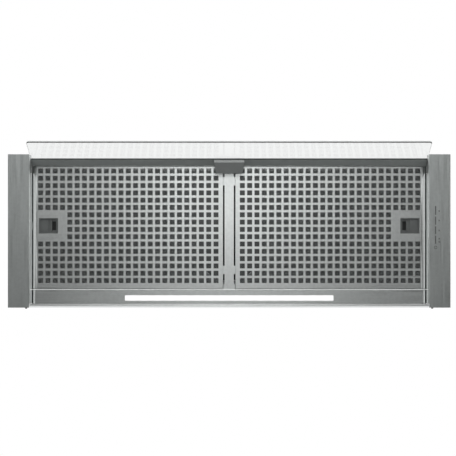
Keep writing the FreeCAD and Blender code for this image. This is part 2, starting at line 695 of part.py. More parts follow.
def mouth_opening():
    """The space that opens the scroll's outlet upwards, inside its walls."""
    half = SCROLL_WIDTH / 2 - SCROLL_WALL
    y0 = IMPELLER_Y + OUTLET_INNER + SCROLL_WALL
    y1 = IMPELLER_Y + SCROLL_STEP / 2 + SCROLL_FIRST + 2 * SCROLL_STEP - SCROLL_WALL
    return block(-half, half, y0, y1, BOX_TOP - SHEET - 2 * SCROLL_WALL, BOX_TOP)


def impeller_half():
    """Half the wheel's length, centre disc to the outside of an end ring."""
    return SCROLL_WIDTH / 2 - SCROLL_WALL - IMPELLER_END_GAP


def impeller_disc():
    """Centre disc of the double-inlet wheel, which both sets of blades stand on."""
    start = V(-DISC_THICKNESS / 2, IMPELLER_Y, IMPELLER_Z)
    return tube(IMPELLER_RADIUS, HUB_RADIUS, DISC_THICKNESS, start, X_AXIS)


def impeller_rings():
    """End rings that tie the tips of the blades together."""
    start = V(impeller_half() - END_RING_DEPTH, IMPELLER_Y, IMPELLER_Z)
    ring = tube(IMPELLER_RADIUS, BLADE_INNER, END_RING_DEPTH, start, X_AXIS)
    return Part.makeCompound([ring, mirrored(ring)])


def impeller_blades():
    """Forward-curved blades, crimped between the disc and the two end rings."""
    blades = []
    for index in range(BLADE_COUNT):
        right = blade(DISC_THICKNESS / 2, impeller_half() - END_RING_DEPTH,
                      360.0 / BLADE_COUNT * index)
        blades += [right, mirrored(right)]
    return Part.makeCompound(blades)


def blade(x0, x1, turn):
    """One blade: a strip folded once along its length, leaning forward at its tip."""
    outer_radius = IMPELLER_RADIUS - BLADE_MARGIN
    inner_radius = BLADE_INNER + BLADE_MARGIN
    fold = ((inner_radius + outer_radius) / 2, BLADE_LEAN * BLADE_FOLD)
    lower = [(inner_radius, 0.0), fold, (outer_radius, BLADE_LEAN)]
    upper = [(y, z + BLADE_THICKNESS) for y, z in reversed(lower)]
    strip = prism_x(lower + upper, x0, x1)
    strip.rotate(V(0, 0, 0), X_AXIS, turn)
    strip.translate(V(0, IMPELLER_Y, IMPELLER_Z))
    return strip


def impeller_hub():
    """Hub held in the wheel's disc and pressed on the motor shaft."""
    start = V(DISC_THICKNESS / 2, IMPELLER_Y, IMPELLER_Z)
    return tube(HUB_RADIUS, SHAFT_RADIUS, HUB_LENGTH, start, -X_AXIS)


def motor_end():
    """The motor can ends level with the rim of the flared inlet."""
    return SCROLL_WIDTH / 2 - SCROLL_WALL + BELL_HEIGHT


def motor_shaft():
    centre = V(0, IMPELLER_Y, IMPELLER_Z)
    start = centre - X_AXIS * (HUB_LENGTH + 1.0)
    length = motor_end() - MOTOR_WALL + HUB_LENGTH + 1.0
    return rod(SHAFT_RADIUS, length, start, X_AXIS)


def motor_rotor():
    middle = (MOTOR_START + motor_end()) / 2
    return tube(STATOR_INNER - ROTOR_GAP, SHAFT_RADIUS, STATOR_LENGTH,
                V(middle - STATOR_LENGTH / 2, IMPELLER_Y, IMPELLER_Z), X_AXIS)


def motor_stator():
    """Eight-sided stack of laminations, held by its corners in the can."""
    middle = (MOTOR_START + motor_end()) / 2
    start = V(middle - STATOR_LENGTH / 2, IMPELLER_Y, IMPELLER_Z)
    stack = flat_sided(MOTOR_RADIUS - MOTOR_WALL, 8, STATOR_LENGTH, start, X_AXIS)
    return stack.cut(rod(STATOR_INNER, STATOR_LENGTH, start, X_AXIS))


def motor_can():
    start = V(MOTOR_START, IMPELLER_Y, IMPELLER_Z)
    length = motor_end() - MOTOR_START
    can = rod(MOTOR_RADIUS, length, start, X_AXIS)
    can = can.cut(rod(MOTOR_RADIUS - MOTOR_WALL, length - 2 * MOTOR_WALL,
                      start + X_AXIS * MOTOR_WALL, X_AXIS))
    return can.cut(flat_sided(BUSH_RADIUS, BUSH_SIDES, length + 2, start - X_AXIS, X_AXIS))


def motor_bushes():
    """Two plain bearings, pressed into the ends of the motor can."""
    bushes = []
    for x in (MOTOR_START, motor_end() - BUSH_LENGTH):
        start = V(x, IMPELLER_Y, IMPELLER_Z)
        bush = flat_sided(BUSH_RADIUS, BUSH_SIDES, BUSH_LENGTH, start, X_AXIS)
        bushes.append(bush.cut(rod(SHAFT_RADIUS + BUSH_PLAY, BUSH_LENGTH, start, X_AXIS)))
    return Part.makeCompound(bushes)


def motor_bracket():
    """Three-armed plate that carries the motor, on feet outside the flare of the inlet."""
    start = V(motor_end(), IMPELLER_Y, IMPELLER_Z)
    side_plate = SCROLL_WIDTH / 2
    foot_inner = INLET_RADIUS + BELL_FLARE + 2 * SEAM
    plate = rod(BRACKET_CENTRE, BRACKET_THICKNESS, start, X_AXIS)
    for index in range(3):
        arm = block(start.x, start.x + BRACKET_THICKNESS, start.y, start.y + BRACKET_REACH,
                    start.z - BRACKET_ARM / 2, start.z + BRACKET_ARM / 2)
        foot = block(side_plate, start.x + BRACKET_THICKNESS, start.y + foot_inner,
                     start.y + BRACKET_REACH + BRACKET_THICKNESS,
                     start.z - BRACKET_ARM / 2, start.z + BRACKET_ARM / 2)
        arm = arm.fuse(foot)
        arm.rotate(start, X_AXIS, 30 + 120 * index)
        plate = plate.fuse(arm)
    return plate.removeSplitter()


# ---------------------------------------------------------------- collar and damper

def collar_plate():
    """Ring screwed on the roof of the fan box, which carries the duct collar."""
    base = V(0, COLLAR_Y, BOX_TOP)
    plate = tube(COLLAR_RADIUS + COLLAR_FOOT, COLLAR_RADIUS - SHEET, SHEET, base, Z_AXIS)
    for x, y in collar_screw_places():
        plate = plate.cut(screw_hole(V(x, y, BOX_TOP - SHEET), Z_AXIS, 4 * SHEET))
    return plate


def duct_collar():
    """Spigot that a 150 mm duct is pushed over."""
    return tube(COLLAR_RADIUS, COLLAR_RADIUS - SHEET, COLLAR_HEIGHT - SHEET,
                V(0, COLLAR_Y, BOX_TOP + SHEET), Z_AXIS)


def damper_pins():
    """Two pins riveted across the collar, ending against its wall."""
    reach = FLAP_AXIS + FLAP_PIN_RADIUS
    half = math.sqrt((COLLAR_RADIUS - SHEET) ** 2 - reach ** 2)
    level = BOX_TOP + DAMPER_LEVEL
    pins = [rod(FLAP_PIN_RADIUS, 2 * half, V(-half, COLLAR_Y + side * FLAP_AXIS, level), X_AXIS)
            for side in (-1, 1)]
    return Part.makeCompound(pins)


def damper_flap(side):
    """Half-moon flap on a rolled knuckle; side is -1 for the front flap, +1 for the rear."""
    level = BOX_TOP + DAMPER_LEVEL
    radius = COLLAR_RADIUS - SHEET - FLAP_GAP
    hinge_y = COLLAR_Y + side * FLAP_AXIS
    moon = rod(radius, FLAP_THICKNESS, V(0, COLLAR_Y, level - FLAP_THICKNESS / 2), Z_AXIS)
    far = COLLAR_Y + side * 2 * radius
    y0, y1 = sorted((hinge_y, far))
    moon = moon.common(block(-radius, radius, y0, y1, level - 2, level + 2))
    end_relief = KNUCKLE_RADIUS + SEAM
    for end in (-1, 1):
        x0, x1 = sorted((end * KNUCKLE_LENGTH / 2, end * (radius + 1)))
        y0, y1 = sorted((hinge_y - side * end_relief, hinge_y + side * end_relief))
        moon = moon.cut(block(x0, x1, y0, y1, level - 2, level + 2))
    knuckle = rod(KNUCKLE_RADIUS, KNUCKLE_LENGTH, V(-KNUCKLE_LENGTH / 2, hinge_y, level), X_AXIS)
    flap = joined([moon, knuckle])
    return flap.cut(rod(FLAP_PIN_RADIUS + PIN_PLAY, KNUCKLE_LENGTH + 2,
                        V(-KNUCKLE_LENGTH / 2 - 1, hinge_y, level), X_AXIS))


# ---------------------------------------------------------------- electrics

def terminal_block(inset, z0, z1):
    """Space of the terminal box, drawn inwards by inset."""
    half_x = TERMINAL_LENGTH / 2 - inset
    half_y = TERMINAL_WIDTH / 2 - inset
    return block(TERMINAL_X - half_x, TERMINAL_X + half_x, TERMINAL_Y - half_y,
                 TERMINAL_Y + half_y, z0, z1)


def gland_wall():
    """Where the gland's axis meets the outside of the terminal box."""
    return V(TERMINAL_X, TERMINAL_Y + TERMINAL_WIDTH / 2, LOWER_HEIGHT + GLAND_HEIGHT)


def terminal_box():
    """Open tray on the roof of the lower housing, where the mains supply is joined."""
    z = LOWER_HEIGHT
    tray = terminal_block(0, z, z + TERMINAL_HEIGHT)
    tray = tray.makeChamfer(TERMINAL_CORNER, [e for e in tray.Edges if is_upright(e)])
    tray = tray.cut(terminal_block(TERMINAL_WALL, z + TERMINAL_WALL, z + TERMINAL_HEIGHT + 1))
    start = gland_wall() - Y_AXIS * (2 * TERMINAL_WALL)
    return tray.cut(flat_sided(GLAND_STEM, GLAND_SIDES, 4 * TERMINAL_WALL, start, Y_AXIS))


def terminal_cover():
    """Lid of the terminal box, with a rim that drops inside its walls."""
    z = LOWER_HEIGHT + TERMINAL_HEIGHT
    cover = terminal_block(0, z, z + COVER_THICKNESS)
    cover = cover.makeChamfer(TERMINAL_CORNER, [e for e in cover.Edges if is_upright(e)])
    return joined([cover, terminal_block(TERMINAL_WALL + SEAM, z - TERMINAL_WALL, z)])


def cable_gland():
    """Hexagon body and clamping nut round the bore that the mains lead enters."""
    wall = gland_wall()
    body_length = GLAND_LENGTH - GLAND_NUT
    stem = flat_sided(GLAND_STEM, GLAND_SIDES, TERMINAL_WALL, wall - Y_AXIS * TERMINAL_WALL, Y_AXIS)
    hexagon = flat_sided(GLAND_FLATS / math.sqrt(3), 6, body_length, wall, Y_AXIS)
    nut = flat_sided(GLAND_STEM + GLAND_NUT_WALL, GLAND_SIDES, GLAND_NUT,
                     wall + Y_AXIS * body_length, Y_AXIS)
    gland = joined([stem, hexagon, nut])
    return gland.cut(rod(GLAND_BORE, 2 * GLAND_LENGTH, wall - Y_AXIS * GLAND_LENGTH / 2, Y_AXIS))


def capacitor():
    """Motor capacitor, standing off the left wall of the fan box."""
    start = V(-BOX_WIDTH / 2 + SHEET, BOX_REAR - CAPACITOR_REAR_GAP,
              LOWER_HEIGHT + CAPACITOR_LEVEL)
    return rod(CAPACITOR_RADIUS, CAPACITOR_LENGTH, start, X_AXIS)


# ---------------------------------------------------------------- filters

def hole_span_x():
    return FILTER_INNER + EDGE_INNER, FILTER_OUTER - EDGE_OUTER


def hole_span_y():
    return -FILTER_FRONT + EDGE_FRONT, FILTER_REAR - EDGE_REAR


def holes_in_a_row(low, high, count):
    """Low edges and side length of evenly spaced holes that fill low..high."""
    pitch = (high - low) / (count - 1 + HOLE_SHARE)
    return [low + pitch * index for index in range(count)], pitch * HOLE_SHARE


def filter_face():
    """Perforated sheet of the right filter; the grid leaves a plain field at the latch."""
    columns, side_x = holes_in_a_row(*hole_span_x(), HOLE_COLUMNS)
    rows, side_y = holes_in_a_row(*hole_span_y(), HOLE_ROWS)
    latch_low = LATCH_Y - LATCH_WIDTH / 2 - LATCH_FIELD_ACROSS
    latch_high = LATCH_Y + LATCH_WIDTH / 2 + LATCH_FIELD_ACROSS
    wires = [rectangle(FILTER_INNER, FILTER_OUTER, -FILTER_FRONT, FILTER_REAR)]
    for x in columns:
        for y in rows:
            beside_latch = x + side_x > LATCH_INNER - LATCH_FIELD_ALONG
            if beside_latch and y + side_y > latch_low and y < latch_high:
                continue
            wires.append(rectangle(x, x + side_x, y, y + side_y))
    wires.append(rectangle(LATCH_INNER, LATCH_OUTER,
                           LATCH_Y - LATCH_WIDTH / 2, LATCH_Y + LATCH_WIDTH / 2))
    face = Part.Face(wires[0])
    holes = [Part.Face(w) for w in wires[1:]]
    return face.cut(Part.makeCompound(holes)).extrude(V(0, 0, FILTER_SHEET))


def rectangle(x0, x1, y0, y1):
    corners = [V(x0, y0, UNDER), V(x1, y0, UNDER), V(x1, y1, UNDER), V(x0, y1, UNDER),
               V(x0, y0, UNDER)]
    return Part.makePolygon(corners)


def filter_frame():
    """Folded frame of the right filter, with the two hooks that hang in the mullion."""
    low = UNDER + FILTER_SHEET
    outer = block(FILTER_INNER, FILTER_OUTER, -FILTER_FRONT, FILTER_REAR, low, FILTER_TOP)
    inside = block(FILTER_INNER + FILTER_SHEET, FILTER_OUTER - FILTER_SHEET,
                   -FILTER_FRONT + FILTER_SHEET, FILTER_REAR - FILTER_SHEET,
                   low - 1, FILTER_TOP - FILTER_SHEET)
    top_opening = block(FILTER_INNER + FILTER_LIP, FILTER_OUTER - FILTER_LIP,
                        -FILTER_FRONT + FILTER_LIP, FILTER_REAR - FILTER_LIP,
                        low, FILTER_TOP + 1)
    frame = outer.cut(inside).cut(top_opening)
    tongue_window = block(FILTER_OUTER - 2 * FILTER_SHEET, FILTER_OUTER + 1,
                          LATCH_Y - TONGUE_WIDTH / 2 - BOLT_PLAY,
                          LATCH_Y + TONGUE_WIDTH / 2 + BOLT_PLAY,
                          BOLT_LOW - BOLT_PLAY, BOLT_LOW + BOLT_THICKNESS + BOLT_PLAY)
    frame = frame.cut(tongue_window)
    hooks = [filter_hook(place) for place in (HOOK_FRONT_Y, HOOK_REAR_Y)]
    return joined([frame] + hooks)


def filter_hook(place):
    low = 2 * HOOK_PLAY
    inner = MULLION_WIDTH / 2 - HOOK_REACH
    return block(inner, FILTER_INNER + FILTER_SHEET / 2, place - HOOK_WIDTH / 2,
                 place + HOOK_WIDTH / 2, low, low + HOOK_THICKNESS)


def filter_mesh():
    """Pleated sheet of expanded metal behind the perforated one, let out round the latch."""
    low = UNDER + FILTER_SHEET + MESH_GAP
    high = low + MESH_HEIGHT - MESH_SHEET
    margin = FILTER_SHEET + SEAM
    first = FILTER_INNER + margin
    pleat = (FILTER_OUTER - margin - first) / MESH_PLEATS
    folds = [(first, low)]
    for index in range(MESH_PLEATS):
        folds.append((first + pleat * (index + 0.5), high))
        folds.append((first + pleat * (index + 1), low))
    section = folds + [(x, z + MESH_SHEET) for x, z in reversed(folds)]
    sheet = prism_y(section, -FILTER_FRONT + margin, FILTER_REAR - margin)
    around = 1.0
    latch_space = block(LATCH_INNER - around, FILTER_OUTER, LATCH_Y - LATCH_WIDTH / 2 - around,
                        LATCH_Y + LATCH_WIDTH / 2 + around, low - 1, low + MESH_HEIGHT + 1)
    return sheet.cut(latch_space)


def latch_housing():
    """Moulded recess with a slotted floor; the bolt slides in the space above it."""
    y0 = LATCH_Y - LATCH_WIDTH / 2
    y1 = LATCH_Y + LATCH_WIDTH / 2
    top = FILTER_TOP - FILTER_SHEET
    body = block(LATCH_INNER, LATCH_OUTER, y0, y1, UNDER, top)
    recess = block(LATCH_INNER + LATCH_WALL, LATCH_OUTER - LATCH_WALL, y0 + LATCH_WALL,
                   y1 - LATCH_WALL, UNDER - 1, UNDER + LATCH_DEPTH)
    draft = [e for e in recess.Edges if is_upright(e)]
    recess = recess.makeChamfer(LATCH_DRAFT, draft)
    channel = block(LATCH_INNER + LATCH_WALL, LATCH_OUTER + 1,
                    LATCH_Y - GRIP_SLOT_WIDTH / 2 - BOLT_EDGE - BOLT_PLAY,
                    LATCH_Y + GRIP_SLOT_WIDTH / 2 + BOLT_EDGE + BOLT_PLAY,
                    UNDER + LATCH_DEPTH + LATCH_FLOOR, top + 1)
    grip_window = block(SLOT_INNER - 1.0,
                        SLOT_INNER + GRIP_SLOT_LENGTH + GRIP_LIP + BOLT_TRAVEL + 1.0,
                        LATCH_Y - GRIP_SLOT_WIDTH / 2 - BOLT_PLAY,
                        LATCH_Y + GRIP_SLOT_WIDTH / 2 + BOLT_PLAY, UNDER,
                        UNDER + LATCH_DEPTH + LATCH_FLOOR + 1)
    return body.cut(recess).cut(channel).cut(grip_window)


def latch_bolt():
    """Sliding bolt: finger slot and grip lip at its inner end, tongue at its outer end."""
    low = BOLT_LOW
    high = BOLT_LOW + BOLT_THICKNESS
    plate_half = GRIP_SLOT_WIDTH / 2 + BOLT_EDGE
    plate_inner = LATCH_INNER + LATCH_WALL + SEAM
    plate = block(plate_inner, LATCH_OUTER - TONGUE_ROOT, LATCH_Y - plate_half,
                  LATCH_Y + plate_half, low, high)
    tongue = block(LATCH_OUTER - TONGUE_ROOT - TONGUE_LAP, FILTER_OUTER - SEAM,
                   LATCH_Y - TONGUE_WIDTH / 2,
                   LATCH_Y + TONGUE_WIDTH / 2, low, high)
    slot = block(SLOT_INNER, SLOT_INNER + GRIP_SLOT_LENGTH,
                 LATCH_Y - GRIP_SLOT_WIDTH / 2 + GRIP_SLOT_END,
                 LATCH_Y + GRIP_SLOT_WIDTH / 2 - GRIP_SLOT_END,
                 low - 1, high + 1)
    lip = block(SLOT_INNER + GRIP_SLOT_LENGTH, SLOT_INNER + GRIP_SLOT_LENGTH + GRIP_LIP,
                LATCH_Y - GRIP_SLOT_WIDTH / 2, LATCH_Y + GRIP_SLOT_WIDTH / 2,
                UNDER + GRIP_LIP_LOW, low + BOLT_THICKNESS / 4)
    return joined([plate, tongue, lip]).cut(slot)


# ---------------------------------------------------------------- visor

def in_visor(shape):
    """Place a shape drawn as (X, out, -drop) at the visor's hinge, leaning as at rest."""
    shape.translate(V(0, 0, PIVOT_DROP))
    shape.rotate(V(0, 0, 0), X_AXIS, -VISOR_TILT)
    shape.translate(V(0, PIVOT_Y, PIVOT_Z))
    return shape


def visor_holder():
    """Extruded holder: a hollow chamber above, a glass groove below."""
    half = VISOR_HALF - CAP_LENGTH
    t = HOLDER_THICKNESS / 2
    body = block(-half, half, -t, t, -HOLDER_HEIGHT, 0)
    body = body.makeFillet(1.0, [e for e in body.Edges if along_x(e) and e.CenterOfMass.z > -1])
    chamber_floor = HOLDER_HEIGHT - GLASS_GRIP - HOLDER_WALL
    chamber = block(-half - 1, half + 1, -t + HOLDER_WALL, t - HOLDER_WALL,
                    -chamber_floor, -HOLDER_WALL)
    return in_visor(body.cut(chamber).cut(glass_groove(half + 1)))


def along_x(edge):
    first, last = edge.Vertexes[0].Point, edge.Vertexes[-1].Point
    return abs(first.y - last.y) < 1e-6 and abs(first.z - last.z) < 1e-6


def glass_groove(half):
    g = GLASS_THICKNESS / 2 + GLASS_PLAY
    return block(-half, half, -g, g, -HOLDER_HEIGHT - 1, -HOLDER_HEIGHT + GLASS_GRIP)


def visor_glass():
    """Clear visor, with rounded corners at its tip."""
    g = GLASS_THICKNESS / 2
    top = HOLDER_HEIGHT - GLASS_GRIP + SEAM
    glass = block(-VISOR_HALF, VISOR_HALF, -g, g, -VISOR_LENGTH, -top)
    corners = [e for e in glass.Edges
               if across(e) and e.CenterOfMass.z < -VISOR_LENGTH + 1]
    return in_visor(glass.makeFillet(GLASS_CORNER, corners))


def across(edge):
    first, last = edge.Vertexes[0].Point, edge.Vertexes[-1].Point
    return abs(first.x - last.x) < 1e-6 and abs(first.z - last.z) < 1e-6


def visor_cap_right():
    """End cap of the holder, bored for the hinge pin."""
    t = HOLDER_THICKNESS / 2
    inner = VISOR_HALF - CAP_LENGTH
    cap = block(inner, VISOR_HALF, -t, t, -HOLDER_HEIGHT, 0)
    cap = cap.makeFillet(1.0, [e for e in cap.Edges if along_x(e) and e.CenterOfMass.z > -1])
    cap = cap.cut(glass_groove(VISOR_HALF + 1))
    bore = rod(PIVOT_RADIUS + PIN_PLAY, 2 * CAP_LENGTH, V(inner - 1, 0, -PIVOT_DROP), X_AXIS)
    return in_visor(cap.cut(bore))


def visor_handle():
    """Pull at the middle of the holder, with a finger recess behind its rim."""
    t = HOLDER_THICKNESS / 2
    points = [(t, -HANDLE_ROOT_DROP), (HANDLE_TOP_OUT, -HANDLE_TOP_DROP),
              (HANDLE_RIM_OUT, -HANDLE_RIM_DROP), (HANDLE_TIP_OUT, -HANDLE_TIP_DROP),
              (HANDLE_TIP_OUT, -HANDLE_TIP_DROP + HANDLE_RECESS),
              (t, -HANDLE_TIP_DROP + HANDLE_RECESS)]
    pull = prism_x(points, -HANDLE_RIM / 2, HANDLE_RIM / 2)
    taper = [(-HANDLE_ROOT / 2, -HANDLE_TOP_DROP + 1), (HANDLE_ROOT / 2, -HANDLE_TOP_DROP + 1),
             (HANDLE_RIM / 2, -HANDLE_TIP_DROP - 1), (-HANDLE_RIM / 2, -HANDLE_TIP_DROP - 1)]
    return in_visor(pull.common(prism_y(taper, 0, 2 * HANDLE_TOP_OUT)))


def visor_ear_right():
    """Rounded plate, screwed inside the side wall, that carries the visor's hinge pin."""
    x0 = WALL_INNER - EAR_THICKNESS
    x1 = WALL_INNER
    width = EAR_FRONT - EAR_REAR
    radius = width / 2
    centre_y = -(EAR_FRONT + EAR_REAR) / 2
    top = UPSTAND_HEIGHT
    front = FRONT_WALL + 2 * SHEET + SEAM
    plate = block(x0, x1, -EAR_FRONT, -EAR_REAR, -EAR_DROP + radius, UNDER)
    tip = rod(radius, x1 - x0, V(x0, centre_y, -EAR_DROP + radius), X_AXIS)
    neck = block(x0, x1, front, -EAR_REAR, UNDER, top)
    ear = joined([plate, tip, neck])
    return ear.cut(rod(PIVOT_RADIUS, 10.0, V(x0 - 1, PIVOT_Y, PIVOT_Z), X_AXIS))


def visor_pins():
    """Headed hinge pins, fixed in the ears and turning in the end caps."""
    head = flat_sided(PIN_HEAD_RADIUS, 6, PIN_HEAD, V(WALL_INNER, PIVOT_Y, PIVOT_Z), X_AXIS)
    inner = VISOR_HALF - CAP_LENGTH + 1.0
    pin = rod(PIVOT_RADIUS, WALL_INNER - inner, V(inner, PIVOT_Y, PIVOT_Z), X_AXIS)
    right = joined([head, pin])
    return Part.makeCompound([right, mirrored(right)])


# ---------------------------------------------------------------- fasteners

def screw(seat, direction, grip):
    """Hexagon-head screw: the head lies on seat, the shank runs on by grip along direction."""
    head = flat_sided(SCREW_HEAD_RADIUS, 6, SCREW_HEAD, seat - direction * SCREW_HEAD, direction)
    shank = flat_sided(SCREW_RADIUS, SHANK_SIDES, grip, seat, direction)
    return joined([head, shank])


def housing_screws():
    right = [screw(V(OPENING_HALF, place, screw_level()), X_AXIS,
                   2 * SHEET + SCREW_REACH)
             for place in housing_screw_places()]
    return Part.makeCompound(right + [mirrored(s) for s in right])


def collar_screws():
    return Part.makeCompound([screw(V(x, y, BOX_TOP + SHEET), -Z_AXIS,
                                    2 * SHEET + SCREW_REACH)
                              for x, y in collar_screw_places()])


# ---------------------------------------------------------------- build

def build():
    os.makedirs("parts", exist_ok=True)
    pairs = {
        "flange": flange_right(),
        "visor_ear": visor_ear_right(),
        "visor_cap": visor_cap_right(),
        "filter_frame": filter_frame(),
        "filter_face": filter_face(),
        "filter_mesh": filter_mesh(),
        "latch_housing": latch_housing(),
        "latch_bolt": latch_bolt(),
        "scroll": scroll_right(),
    }
    for name, shape in pairs.items():
        save(name + "_right", shape)
        save(name + "_left", mirrored(shape))
    singles = {
        "housing_lower": housing_lower(),
        "fan_box": fan_box(),
        "fan_box_foot": fan_box_foot(),
        "front_rail": front_rail(),
        "cross_rail": cross_rail(),
        "rear_rail": rear_rail(),
        "centre_mullion": centre_mullion(),
        "rear_stops": rear_stops(),
        "light_panel": light_panel(),
        "light_diffuser": light_diffuser(),
        "led_board": led_board(),
        "led_driver": led_driver(),
        "control_module": control_module(),
        "impeller_disc": impeller_disc(),
        "impeller_rings": impeller_rings(),
        "impeller_blades": impeller_blades(),
        "impeller_hub": impeller_hub(),
        "motor_shaft": motor_shaft(),
        "motor_rotor": motor_rotor(),
        "motor_stator": motor_stator(),
        "motor_can": motor_can(),
        "motor_bushes": motor_bushes(),
        "motor_bracket": motor_bracket(),
        "collar_plate": collar_plate(),
        "duct_collar": duct_collar(),
        "damper_pins": damper_pins(),
        "damper_flap_front": damper_flap(-1),
        "damper_flap_rear": damper_flap(1),
        "terminal_box": terminal_box(),
        "terminal_cover": terminal_cover(),
        "cable_gland": cable_gland(),
        "capacitor": capacitor(),
        "visor_holder": visor_holder(),
        "visor_glass": visor_glass(),
        "visor_handle": visor_handle(),
        "visor_pins": visor_pins(),
        "housing_screws": housing_screws(),
        "collar_screws": collar_screws(),
    }
    for name, shape in singles.items():
        save(name, shape)
    print("wrote", len(singles) + 2 * len(pairs), "parts")


build()
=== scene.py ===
# %% [markdown]
# # A range hood insert, looked at from under the cabinet
#
# This part hides inside a wall cabinet. Only its underside shows: two steel flanges at the
# sides, two perforated grease filters with a mullion between them, a light bar at the rear and
# a glass visor that tilts out at the front.
#
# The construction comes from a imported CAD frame. It is loaded once and never moved. Sheet-metal
# nodes keep their exact shape and only get softer edges and a finish. Pieces whose real
# form is finer than the frame's are built here, in the same metres and the same axes.

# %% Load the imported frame
import math

import bmesh
import bpy
from mathutils import Matrix, Vector


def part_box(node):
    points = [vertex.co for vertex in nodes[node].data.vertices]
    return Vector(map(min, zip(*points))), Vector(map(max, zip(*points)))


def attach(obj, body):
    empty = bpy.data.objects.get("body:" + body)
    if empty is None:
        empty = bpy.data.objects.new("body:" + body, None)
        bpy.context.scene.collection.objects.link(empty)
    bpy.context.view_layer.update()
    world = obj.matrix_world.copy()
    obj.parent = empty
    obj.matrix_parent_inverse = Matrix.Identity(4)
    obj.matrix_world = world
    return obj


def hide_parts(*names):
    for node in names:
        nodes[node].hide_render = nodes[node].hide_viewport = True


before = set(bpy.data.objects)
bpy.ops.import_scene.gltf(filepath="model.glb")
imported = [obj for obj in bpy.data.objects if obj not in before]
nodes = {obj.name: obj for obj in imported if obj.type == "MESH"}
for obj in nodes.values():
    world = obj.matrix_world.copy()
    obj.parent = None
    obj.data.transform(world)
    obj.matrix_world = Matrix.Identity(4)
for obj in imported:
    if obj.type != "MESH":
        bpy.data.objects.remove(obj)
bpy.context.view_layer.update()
MM = 0.001


def in_mm(corners):
    return [corner / MM for corner in corners]


# %% [markdown]
# ## Finishes
#
# Every finish is a small node tree. Noise measured in object space gives a metal its grain:
# the same noise is squeezed across the brushing direction, so it draws long fine lines. A
# second, rounder noise gives the slight mottling that rolled sheet always has. Both change
# the colour a little, and they also change the roughness, because a brushed sheet scatters
# light differently from line to line.

# %% Helpers that wire noise into a shader
NOISE_MIDDLE = (0.3, 0.7)          # most of a noise texture's values lie here


def new_material(name, metallic=0.0):
    material = bpy.data.materials.new(name)
    material.use_nodes = True
    tree = material.node_tree
    shader = tree.nodes["Principled BSDF"]
    shader.inputs["Metallic"].default_value = metallic
    return material, tree, shader


def object_place(tree):
    return tree.nodes.new("ShaderNodeTexCoord").outputs["Object"]


def object_axis(tree, axis):
    """One of X, Y and Z over the piece, in metres, in object space."""
    parts = tree.nodes.new("ShaderNodeSeparateXYZ")
    tree.links.new(object_place(tree), parts.inputs["Vector"])
    return parts.outputs[axis]


def noise_field(tree, scale, stretch=(1, 1, 1), detail=3.0):
    """A noise value in 0..1 over the piece, in object space, stretched per axis."""
    mapping = tree.nodes.new("ShaderNodeMapping")
    mapping.inputs["Scale"].default_value = stretch
    noise = tree.nodes.new("ShaderNodeTexNoise")
    noise.inputs["Scale"].default_value = scale
    noise.inputs["Detail"].default_value = detail
    tree.links.new(object_place(tree), mapping.inputs["Vector"])
    tree.links.new(mapping.outputs["Vector"], noise.inputs["Vector"])
    return noise.outputs["Fac"]


def calculate(tree, operation, *terms):
    """A sum worked out by the shader. Each term is a number or another node's output."""
    node = tree.nodes.new("ShaderNodeMath")
    node.operation = operation
    for socket, term in zip(node.inputs, terms):
        if isinstance(term, float):
            socket.default_value = term
        else:
            tree.links.new(term, socket)
    return node.outputs[0]


def map_range(tree, value, source=(0.0, 1.0), target=(0.0, 1.0)):
    """Carry a value from one span to another. Past the source's ends it stays level."""
    node = tree.nodes.new("ShaderNodeMapRange")
    node.inputs["From Min"].default_value, node.inputs["From Max"].default_value = source
    node.inputs["To Min"].default_value, node.inputs["To Max"].default_value = target
    tree.links.new(value, node.inputs["Value"])
    return node.outputs["Result"]


def toned(colour, factor):
    return tuple(min(1.0, c * factor) for c in colour)


def set_colour(tree, shader, value, dark, light):
    """Blend two colours by a value, as the shader's base colour."""
    node = tree.nodes.new("ShaderNodeMix")
    node.data_type = "RGBA"
    node.inputs["A"].default_value = (*dark, 1)
    node.inputs["B"].default_value = (*light, 1)
    tree.links.new(value, node.inputs["Factor"])
    tree.links.new(node.outputs["Result"], shader.inputs["Base Color"])


def set_roughness(tree, shader, value, low, high):
    tree.links.new(map_range(tree, value, NOISE_MIDDLE, (low, high)), shader.inputs["Roughness"])


def relief(tree, shader, value, depth):
    bump = tree.nodes.new("ShaderNodeBump")
    bump.inputs["Strength"].default_value = 1.0
    bump.inputs["Distance"].default_value = depth
    tree.links.new(value, bump.inputs["Height"])
    tree.links.new(bump.outputs["Normal"], shader.inputs["Normal"])


print("helpers for finishes are ready")

# %% [markdown]
# ### Brushed and rolled steel
#
# The flanges, rails, mullion and filters are all stainless sheet. They differ in their grain and
# in their tone, and the tones are painted light and shade: the flanges are a darker copy of the
# sheet for the shade at the sides, and the hem and the rear rail are paler copies as painted
# highlights. One recipe with a few values makes them all.

# %% Brushed steel
ACROSS_GRAIN, ALONG_GRAIN = 900.0, 12.0   # noise cells per metre
MOTTLE = 160.0


def brushed_steel(name, colour, roughness, along, spread=0.08):
    """Stainless sheet. along is the axis that the brushing runs along: 0 for X, 1 for Y."""
    material, tree, shader = new_material(name, 1.0)
    stretch = [ACROSS_GRAIN] * 3
    stretch[along] = ALONG_GRAIN
    grain = noise_field(tree, 1.0, stretch, 2.0)
    mottle = noise_field(tree, MOTTLE, (1, 1, 1), 4.0)
    both = calculate(tree, "MULTIPLY_ADD", grain, 0.5, calculate(tree, "MULTIPLY", mottle, 0.5))
    set_colour(tree, shader, map_range(tree, both, NOISE_MIDDLE),
               toned(colour, 1 - spread), toned(colour, 1 + spread))
    set_roughness(tree, shader, grain, roughness - 0.05, roughness + 0.05)
    relief(tree, shader, grain, 0.00002)
    return material
